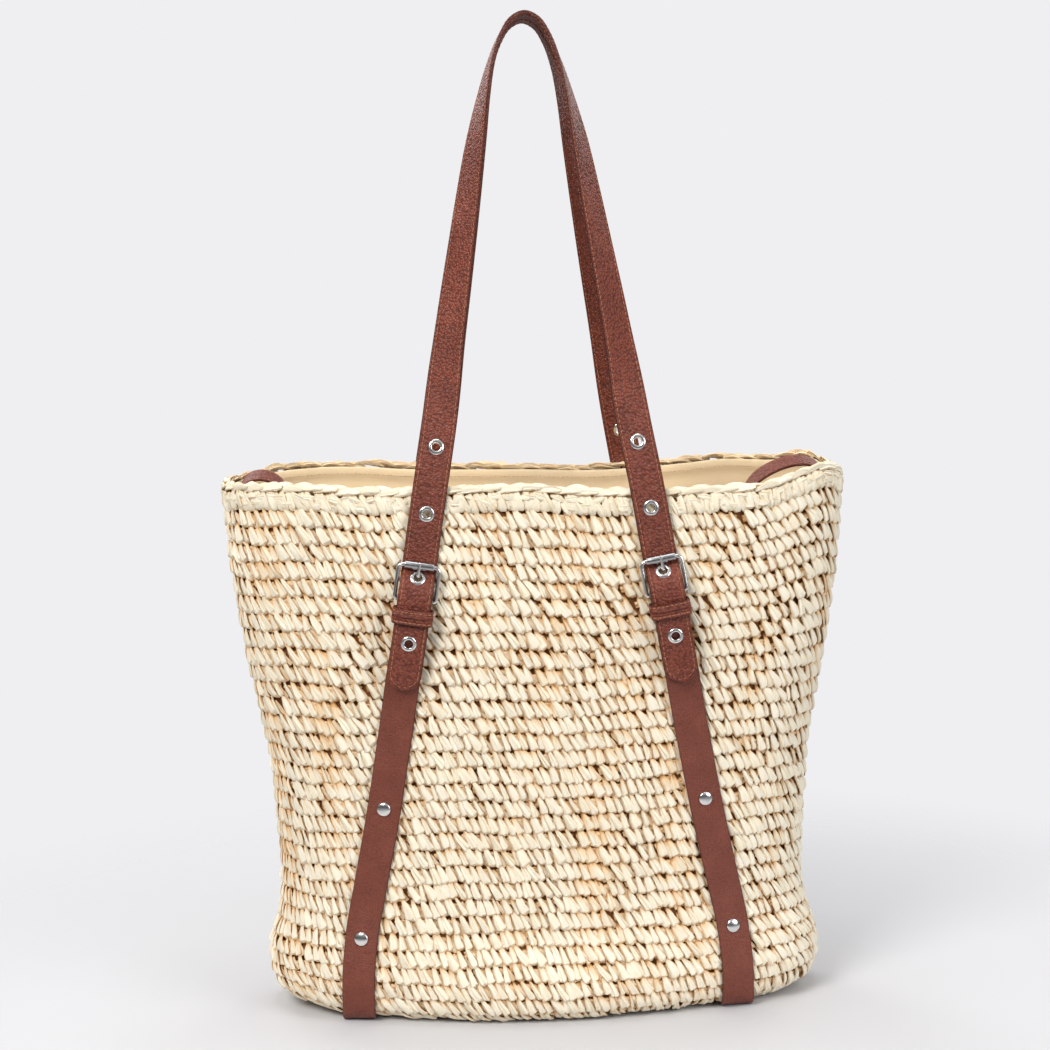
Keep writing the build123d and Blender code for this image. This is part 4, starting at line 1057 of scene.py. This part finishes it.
handle_eyes = []
for z in (366.0, 411.5):
    k = np.argmin(np.abs(hp[:len(hp) // 2, 2] - z) + np.where(hrun[:len(hp) // 2] < 95, 1e3, 0))
    a, b = hp[k - 1], hp[k + 1]
    f = (z - a[2]) / (b[2] - a[2])
    c = a + (b - a) * f
    t_ = unit(b - a)
    nrm = unit(front - t_ * (front @ t_))
    handle_eyes.append((c, nrm))
tail_eyes = [(to_world(*EYE_UP), np.array([0 - EYE_DIR[1] * ST, EYE_DIR[0], EYE_DIR[1] * CT])), (to_world(*EYE_LOW), np.array([0 - LOW_DIR[1] * ST, LOW_DIR[0], LOW_DIR[1] * CT]))]

for face, sy in (("front", 1.0), ("back", -1.0)):
    body = f"{face}_handle_body"
    flip = np.array([1.0, sy, 1.0])
    bag = Bag()
    strap(bag, hp2 * flip, hn2 * flip, 12.0, HANDLE_HT, 0.42, widths)
    ob = bag.make(f"{face}_handle_leather", LEATHER, "leather", fix=True)
    tools = Bag()
    for c, nrm in handle_eyes + tail_eyes:
        for sx in (1.0, -1.0):
            lathe(tools, [(0, -4.5), (3.5, -4.5), (3.5, 4.5), (0, 4.5)], mirror_pts(c, sx, sy), mirror_pts(nrm, sx, sy), seg=28)
    cut(ob, tools)
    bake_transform(ob)
    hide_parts(f"{face}_handle", f"{face}_left_handle_end", f"{face}_right_handle_end")
    bag = Bag()
    stitching(bag, hp2 * flip, hn2 * flip, stitch_line, HANDLE_HT - 0.22)
    st_ob = bag.make(f"{face}_handle_stitching", THREAD, "leather", fix=True)
    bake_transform(st_ob)
    # eyelets of the swinging part
    bag = Bag()
    for c, nrm in handle_eyes:
        for sx in (1.0, -1.0):
            lathe(bag, EYE_PROFILE, mirror_pts(c, sx, sy), mirror_pts(nrm, sx, sy), seg=40)
    ob = bag.make(f"{face}_handle_eyelet_rings", CHROME, "hardware", fix=True, sharp=60)
    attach(ob, body)
    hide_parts(f"{face}_handle_eyelets")

bag = Bag()
for c, nrm in tail_eyes:
    for sx in (1.0, -1.0):
        for sy in (1.0, -1.0):
            lathe(bag, EYE_PROFILE, mirror_pts(c, sx, sy), mirror_pts(nrm, sx, sy), seg=40)
ob = bag.make("handle_end_eyelet_rings", CHROME, "hardware", fix=True, sharp=60)
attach(ob, "root")
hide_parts("handle_end_eyelets")

# base straps: folded round the heel bar of each buckle, down the wall and under the base
HT = 0.97
back_layer = [(1.75, -50.5), (1.4, -48.0), (0.8, -34.0)]
local = [(y, z) for y, z in back_layer] + [(2.55 * math.cos(a), -24 + 2.55 * math.sin(a)) for a in np.linspace(-0.05, math.pi + 0.05, 11)] + [(-1.2, -34.0), (-0.6, -48.0)]
pts = [to_world(y, z) for y, z in local] + list(strap_path)
wd = [np.array([CT, 0, ST])] * len(local) + list(strap_w)
q_pts = np.hstack([np.array(pts), np.array(wd)])
sp, srun = curve_through(q_pts, 2.0)
wv = unit(sp[:, 3:6])
sp = sp[:, :3]
sp_full = np.vstack([sp, mirror_pts(sp[::-1][1:], 1, -1)])
wv_full = np.vstack([wv, unit(mirror_pts(wv[::-1][1:], 1, -1))])
T = tangents(sp_full)
sn = np.cross(T, wv_full)
for name, sx in (("right", 1.0), ("left", -1.0)):
    flip = np.array([sx, 1.0, 1.0])
    bag = Bag()
    strap(bag, sp_full * flip, sn * flip, 12.0, HT, 0.0)
    ob = bag.make(f"{name}_base_strap_leather", STRAP_LEATHER, "leather", fix=True)
    tools = Bag()
    for sy in (1.0, -1.0):
        c8 = []
        for zz in (-18.5, -30.5):
            for xx, yy in ((-2.9, -7), (2.9, -7), (2.9, 7), (-2.9, 7)):
                c8.append(mirror_pts(to_world(yy, zz, xx), sx, sy))
        c8 = np.array(c8)
        tools.add(c8, [(0, 1, 2, 3), (7, 6, 5, 4), (0, 4, 5, 1), (1, 5, 6, 2), (2, 6, 7, 3), (3, 7, 4, 0)])
    cut(ob, tools)
    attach(ob, "root")
    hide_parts(f"{name}_base_strap")

# rivets with domed caps, and their burrs inside the bag
RIVETS = [((132.36, -60.87, 62.8), (0.256, -0.961, 0.107)), ((113.49, -64.24, 157.3), (0.186, -0.982, -0.025))]
caps, burrs = Bag(), Bag()
for c, nrm in RIVETS:
    for sx in (1.0, -1.0):
        for sy in (1.0, -1.0):
            c2, n2 = mirror_pts(c, sx, sy), mirror_pts(nrm, sx, sy)
            a = np.linspace(0, 1, 9)
            dome = [(5.0 * math.cos(x * math.pi / 2), 1.55 + 1.65 * math.sin(x * math.pi / 2)) for x in a[:-1]]
            prof = [(0, -11.2), (1.1, -11.2), (1.5, -10.9), (1.5, 1.05), (4.5, 1.05), (4.95, 1.18)] + dome + [(0, 3.2)]
            lathe(caps, prof, c2, n2, seg=40)
            lathe(burrs, [(1.56, -9.28), (1.56, -10.0), (2.1, -10.35), (3.4, -10.3), (4.3, -9.95), (4.5, -9.5), (4.35, -9.26)], c2, n2, seg=36)
ob = caps.make("strap_rivet_caps", CHROME, "hardware", fix=True, sharp=50)
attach(ob, "root")
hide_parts("strap_rivets")
ob = burrs.make("rivet_burr_rings", CHROME, "hardware", fix=True, sharp=50)
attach(ob, "root")
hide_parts("rivet_burrs")

# ---------------------------------------------------------------- buckles
RX, HEEL = 14.2, -24.0


def arc(cx, cz, r, a0, a1, count=8):
    return [(cx + r * math.cos(a), cz + r * math.sin(a)) for a in np.linspace(a0, a1, count)]


frame_xz = arc(RX - 3.6, -3.6, 3.6, 0, math.pi / 2) + [(x, 0.0) for x in np.linspace(RX - 6, -RX + 6, 10)] + arc(-RX + 3.6, -3.6, 3.6, math.pi / 2, math.pi) \
    + [(-RX, z) for z in np.linspace(-6, HEEL + 3.6, 8)] + arc(-RX + 2.0, HEEL + 2.0, 2.0, math.pi, 1.5 * math.pi) \
    + [(x, HEEL) for x in np.linspace(-RX + 4, RX - 4, 10)] + arc(RX - 2.0, HEEL + 2.0, 2.0, -math.pi / 2, 0) + [(RX, z) for z in np.linspace(HEEL + 3.6, -6, 8)]
frame_local = np.array([to_world(0.0, z, x) for x, z in frame_xz])
B, C, D = (3.50, -11.91), (-3.51, -6.77), (-4.55, 2.4)
shank = [(0.9, -21.6), (2.0, -18.0), (3.1, -14.4), (2.9, -11.6), (0.9, -10.0), (-1.9, -8.0), (-3.3, -6.4), (-3.9, -3.6), (-4.35, 0.4), (-4.55, 2.2)]
shank_p, _ = curve_through([to_world(y, z) for y, z in shank], 0.8)
ring_p = np.array([to_world(2.18 * math.cos(a), HEEL + 2.18 * math.sin(a)) for a in np.linspace(0, TAU, 28, endpoint=False)])
keeper_xy = []
kx, ky0, ky1, kr = 13.4, -8.0, 4.3, 2.6
for cx, cy, a0 in ((kx - kr, ky1 - kr, 0), (-kx + kr, ky1 - kr, math.pi / 2), (-kx + kr, ky0 + kr, math.pi), (kx - kr, ky0 + kr, 1.5 * math.pi)):
    keeper_xy += [(cx + kr * math.cos(a), cy + kr * math.sin(a)) for a in np.linspace(a0, a0 + math.pi / 2, 7)]
loop = np.array([to_world(y, -34.9 - 1.6 * (1 - (x / kx) ** 2), x) for x, y in keeper_xy])
loop, _ = curve_through(loop, 1.6, closed=True, power=0.5)
centre = to_world((ky0 + ky1) / 2, -34.5)
kz = np.array([-ST, 0, CT])
kt = tangents(loop, True)
kn = np.cross(kz, kt)
kn = kn * np.sign(np.sum(kn * (loop - centre), -1, keepdims=True))
for corner, sx, sy in (("front_right", 1, 1), ("front_left", -1, 1), ("back_right", 1, -1), ("back_left", -1, -1)):
    ob = tube(Bag(), mirror_pts(frame_local, sx, sy), np.array([1.5] * len(frame_local)), k=14, closed=True, ref=(0, 1, 0), flat=0.94).make(f"{corner}_frame_bar", CHROME, "hardware", fix=True)
    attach(ob, "root")
    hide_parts(f"{corner}_buckle_frame")
    ax = mirror_pts((CT, 0, ST), sx, sy)
    o = mirror_pts(to_world(0, 0), sx, sy)
    prof = [(1.68, -10.0), (1.9, -10.18), (2.35, -10.2), (2.68, -10.05), (2.8, -9.7), (2.8, -9.2), (2.74, -9.0), (2.8, -8.8), (2.8, 8.8), (2.74, 9.0), (2.8, 9.2), (2.8, 9.7), (2.68, 10.05), (2.35, 10.2), (1.9, 10.18), (1.68, 10.0)]
    ob = lathe(Bag(), prof, o, ax, seg=44).make(f"{corner}_roller_tube", ROLLER_METAL_DARKENED, "hardware", fix=True, sharp=50)
    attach(ob, f"{corner}_roller_body")
    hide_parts(f"{corner}_buckle_roller")
    bag = Bag()
    sp_r = np.interp(np.linspace(0, 1, len(shank_p)), [0, 0.25, 0.8, 1.0], [1.25, 1.2, 1.15, 0.95])
    tube(bag, mirror_pts(shank_p, sx, sy), sp_r, k=14, ref=(1, 0, 0))
    tube(bag, mirror_pts(ring_p, sx, sy), 0.66, k=12, closed=True, ref=(1, 0, 0), flat=2.25)
    ob = bag.make(f"{corner}_prong_pin", CHROME, "hardware", fix=True)
    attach(ob, f"{corner}_prong_body")
    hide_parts(f"{corner}_buckle_prong")
    bag = Bag()
    strap(bag, mirror_pts(loop, sx, sy), mirror_pts(kn, sx, sy), 5.4, 0.95, 0.42, closed=True)
    ob = bag.make(f"{corner}_keeper_loop", LEATHER, "leather", fix=True)
    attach(ob, "root")
    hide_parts(f"{corner}_keeper")
    bag = Bag()
    lp = np.vstack([mirror_pts(loop, sx, sy), mirror_pts(loop[:1], sx, sy)])
    ln = np.vstack([mirror_pts(kn, sx, sy), mirror_pts(kn[:1], sx, sy)])
    LL = float(np.sum(np.linalg.norm(np.diff(lp, axis=0), axis=1)))
    for w_ in (-3.5, 3.5):
        stitching(bag, lp, ln, [(0.3, w_), (LL - 0.3, w_)], 0.95 - 0.30, sides=(1,), pitch=3.1, length=2.6, radius=0.42)
    ob = bag.make(f"{corner}_keeper_stitching", THREAD, "leather", fix=True)
    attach(ob, "root")

# ---------------------------------------------------------------- closure straps inside the rim
TAB_RIGHT = [(211.0, 345), (212.4, 368), (211.5, 379), (207.0, 386.0), (198.5, 389.6), (187, 389.2), (175, 385.4), (164.5, 379.4), (157, 371.5)]
TAB_LEFT = [(211.0, 345), (211.8, 374), (209.5, 382.5), (204.5, 388), (196, 389.6), (187.5, 387), (181, 380.5), (177.5, 371.5)]
for name, sx, tab in (("right", 1, TAB_RIGHT), ("left", -1, TAB_LEFT)):
    x1, z1 = tab[-1]
    snap_z = z1 - 3.2 - 84.0
    pts = np.array([(x, 0.0, z) for x, z in tab] + [(x1 - 0.2, 0, 366.0), (x1, 0, 350.0), (x1, 0, 330.0), (x1, 0, 310.0), (x1, 0, 292.0), (x1, 0, snap_z - 12.0)], float)
    pts = mirror_pts(pts, sx, 1)
    p, r = curve_through(pts, 1.8)
    ends = r[-1] - 12 * (1 - np.cos(np.linspace(0, math.pi / 2, 12)))
    s_all = np.unique(np.concatenate([r[r < r[-1] - 12.5], ends]))
    p2 = np.stack([np.interp(s_all, r, p[:, c]) for c in range(3)], 1)
    d = s_all[-1] - s_all
    ws = np.where(d < 12, np.sqrt(np.clip(144 - (12 - d) ** 2, 0.6, None)), 12.0)
    T = tangents(p2)
    lean_in = np.radians(12.0) * smooth01((s_all[-1] - s_all - 84.0) / 30.0)
    across = np.stack([np.zeros(len(p2)), np.cos(lean_in), np.sin(lean_in)], 1)
    n = np.cross(across, T)
    bag = strap(Bag(), p2, n, 12.0, 1.1, 0.22, ws)
    ob = bag.make(f"{name}_closure_leather", LEATHER, "leather", fix=True)
    tools = lathe(Bag(), [(0, -4), (2.05, -4), (2.05, 4), (0, 4)], (sx * x1, 0, snap_z), (sx, 0, 0), seg=24)
    cut(ob, tools)
    body = f"{name}_closure_body"
    LT = s_all[-1]
    line = [(4.0, -9.7)] + [(LT - s, w) for s, w in semi] + [(4.0, 9.7)]
    sb = stitching(Bag(), p2, n, line, 1.1 - 0.14, radius=0.3)
    so = sb.make(f"{name}_closure_stitching", THREAD, "leather", fix=True)
    for o in (ob, so):
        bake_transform(o)
        co = np.array([v.co for v in o.data.vertices])
        k = np.argmin(((co[:, None, (0, 2)] - (p2[None, ::4][..., (0, 2)] * MM)) ** 2).sum(-1), 1) if len(co) < 60000 else None
    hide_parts(f"{name}_closure_tab", f"{name}_closure_strap")
    h = 1.15
    bag = Bag()
    if name == "left":
        prof = [(0, -h - 0.95), (4.6, -h - 0.95), (5.3, -h - 0.7), (5.5, -h - 0.02), (2.0, -h), (2.0, h), (6.0, h), (6.05, h + 0.5), (5.6, h + 0.85), (2.9, h + 1.05), (2.2, h + 1.5), (2.2, h + 2.0), (2.6, h + 2.6), (2.55, h + 3.1), (1.9, h + 3.55), (0, h + 3.6)]
    else:
        prof = [(0, -h - 0.95), (4.6, -h - 0.95), (5.3, -h - 0.7), (5.5, -h - 0.02), (2.0, -h), (2.0, h), (6.0, h), (6.1, h + 1.0), (5.9, h + 2.2), (5.2, h + 2.6), (3.6, h + 2.6), (3.0, h + 2.2), (3.0, h + 0.6), (0, h + 0.6)]
    lathe(bag, prof, (sx * x1, 0, snap_z), (-sx, 0, 0), seg=36)
    node_name = "snap_stud" if name == "left" else "snap_socket"
    ob = bag.make(f"{node_name}_metal", CHROME, "hardware", fix=True, sharp=50)
    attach(ob, body)
    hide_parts(node_name)

# ---------------------------------------------------------------- stage and light
world = bpy.data.worlds.new("studio")
bpy.context.scene.world = world
world.use_nodes = True
nt = world.node_tree
nt.nodes.clear()
wo = nt.nodes.new("ShaderNodeOutputWorld")
bg_light = node(nt, "ShaderNodeBackground", Strength=0.70)
bg_cam = node(nt, "ShaderNodeBackground", Strength=1.0)
bg_cam.inputs["Color"].default_value = (0.863, 0.863, 0.880, 1)
tc = nt.nodes.new("ShaderNodeTexCoord")
sep = nt.nodes.new("ShaderNodeSeparateXYZ")
nt.links.new(tc.outputs["Generated"], sep.inputs[0])
ramp = nt.nodes.new("ShaderNodeValToRGB")
ramp.color_ramp.elements[0].position = 0.30
ramp.color_ramp.elements[0].color = (0.60, 0.60, 0.61, 1)
ramp.color_ramp.elements[1].position = 0.85
ramp.color_ramp.elements[1].color = (0.72, 0.72, 0.73, 1)
e = ramp.color_ramp.elements.new(0.52)
e.color = (0.07, 0.07, 0.075, 1)
nt.links.new(calc(nt, "MULTIPLY_ADD", sep.outputs[2], 0.5, 0.5), ramp.inputs[0])
nt.links.new(ramp.outputs[0], bg_light.inputs["Color"])
lp = nt.nodes.new("ShaderNodeLightPath")
ms = nt.nodes.new("ShaderNodeMixShader")
nt.links.new(lp.outputs["Is Camera Ray"], ms.inputs[0])
nt.links.new(bg_light.outputs[0], ms.inputs[1])
nt.links.new(bg_cam.outputs[0], ms.inputs[2])
nt.links.new(ms.outputs[0], wo.inputs["Surface"])

# floor: a pale disc that fades into the pale surroundings
bm = bmesh.new()
bmesh.ops.create_grid(bm, x_segments=8, y_segments=8, size=3.0)
me = bpy.data.meshes.new("floor")
bm.to_mesh(me)
bm.free()
floor = bpy.data.objects.new("floor", me)
bpy.context.scene.collection.objects.link(floor)
fm, nt, bsdf = material("pale_floor")
bsdf.inputs["Base Color"].default_value = (0.62, 0.62, 0.635, 1)
bsdf.inputs["Roughness"].default_value = 0.9
bsdf.inputs["Specular IOR Level"].default_value = 0.1
tr = nt.nodes.new("ShaderNodeBsdfTransparent")
mx = nt.nodes.new("ShaderNodeMixShader")
vec = mapped(nt, (1, 1, 0), "Object")
ln_ = nt.nodes.new("ShaderNodeVectorMath")
ln_.operation = "LENGTH"
nt.links.new(vec, ln_.inputs[0])
fade = calc(nt, "DIVIDE", calc(nt, "SUBTRACT", ln_.outputs["Value"], 0.27), 0.40, clamp=True)
nt.links.new(fade, mx.inputs[0])
out = [n for n in nt.nodes if n.type == "OUTPUT_MATERIAL"][0]
nt.links.new(bsdf.outputs[0], mx.inputs[1])
nt.links.new(tr.outputs[0], mx.inputs[2])
nt.links.new(mx.outputs[0], out.inputs["Surface"])
me.materials.append(fm)


def area_light(name, loc, target, size, power, colour=(1, 1, 1)):
    ld = bpy.data.lights.new(name, "AREA")
    ld.shape, ld.size, ld.energy, ld.color = "DISK", size, power, colour
    lo = bpy.data.objects.new(name, ld)
    bpy.context.scene.collection.objects.link(lo)
    lo.location = loc
    lo.rotation_euler = (Vector(target) - Vector(loc)).to_track_quat("-Z", "Y").to_euler()
    return lo


area_light("key", (-1.1, -1.5, 1.75), (0, 0, 0.28), 1.1, 42.0, (1.0, 0.985, 0.96))
area_light("fill", (1.6, -1.3, 0.9), (0, 0, 0.3), 1.4, 20.0, (0.97, 0.98, 1.0))
area_light("back_left", (-1.0, 1.6, 1.4), (0, 0, 0.35), 1.2, 12.0)
area_light("back_right", (1.2, 1.5, 1.2), (0, 0, 0.3), 1.2, 8.0)
area_light("top", (0.0, 0.1, 2.1), (0, 0, 0.3), 1.2, 12.0)

bpy.context.scene.view_settings.view_transform = "Standard"
bpy.context.scene.view_settings.look = "None"
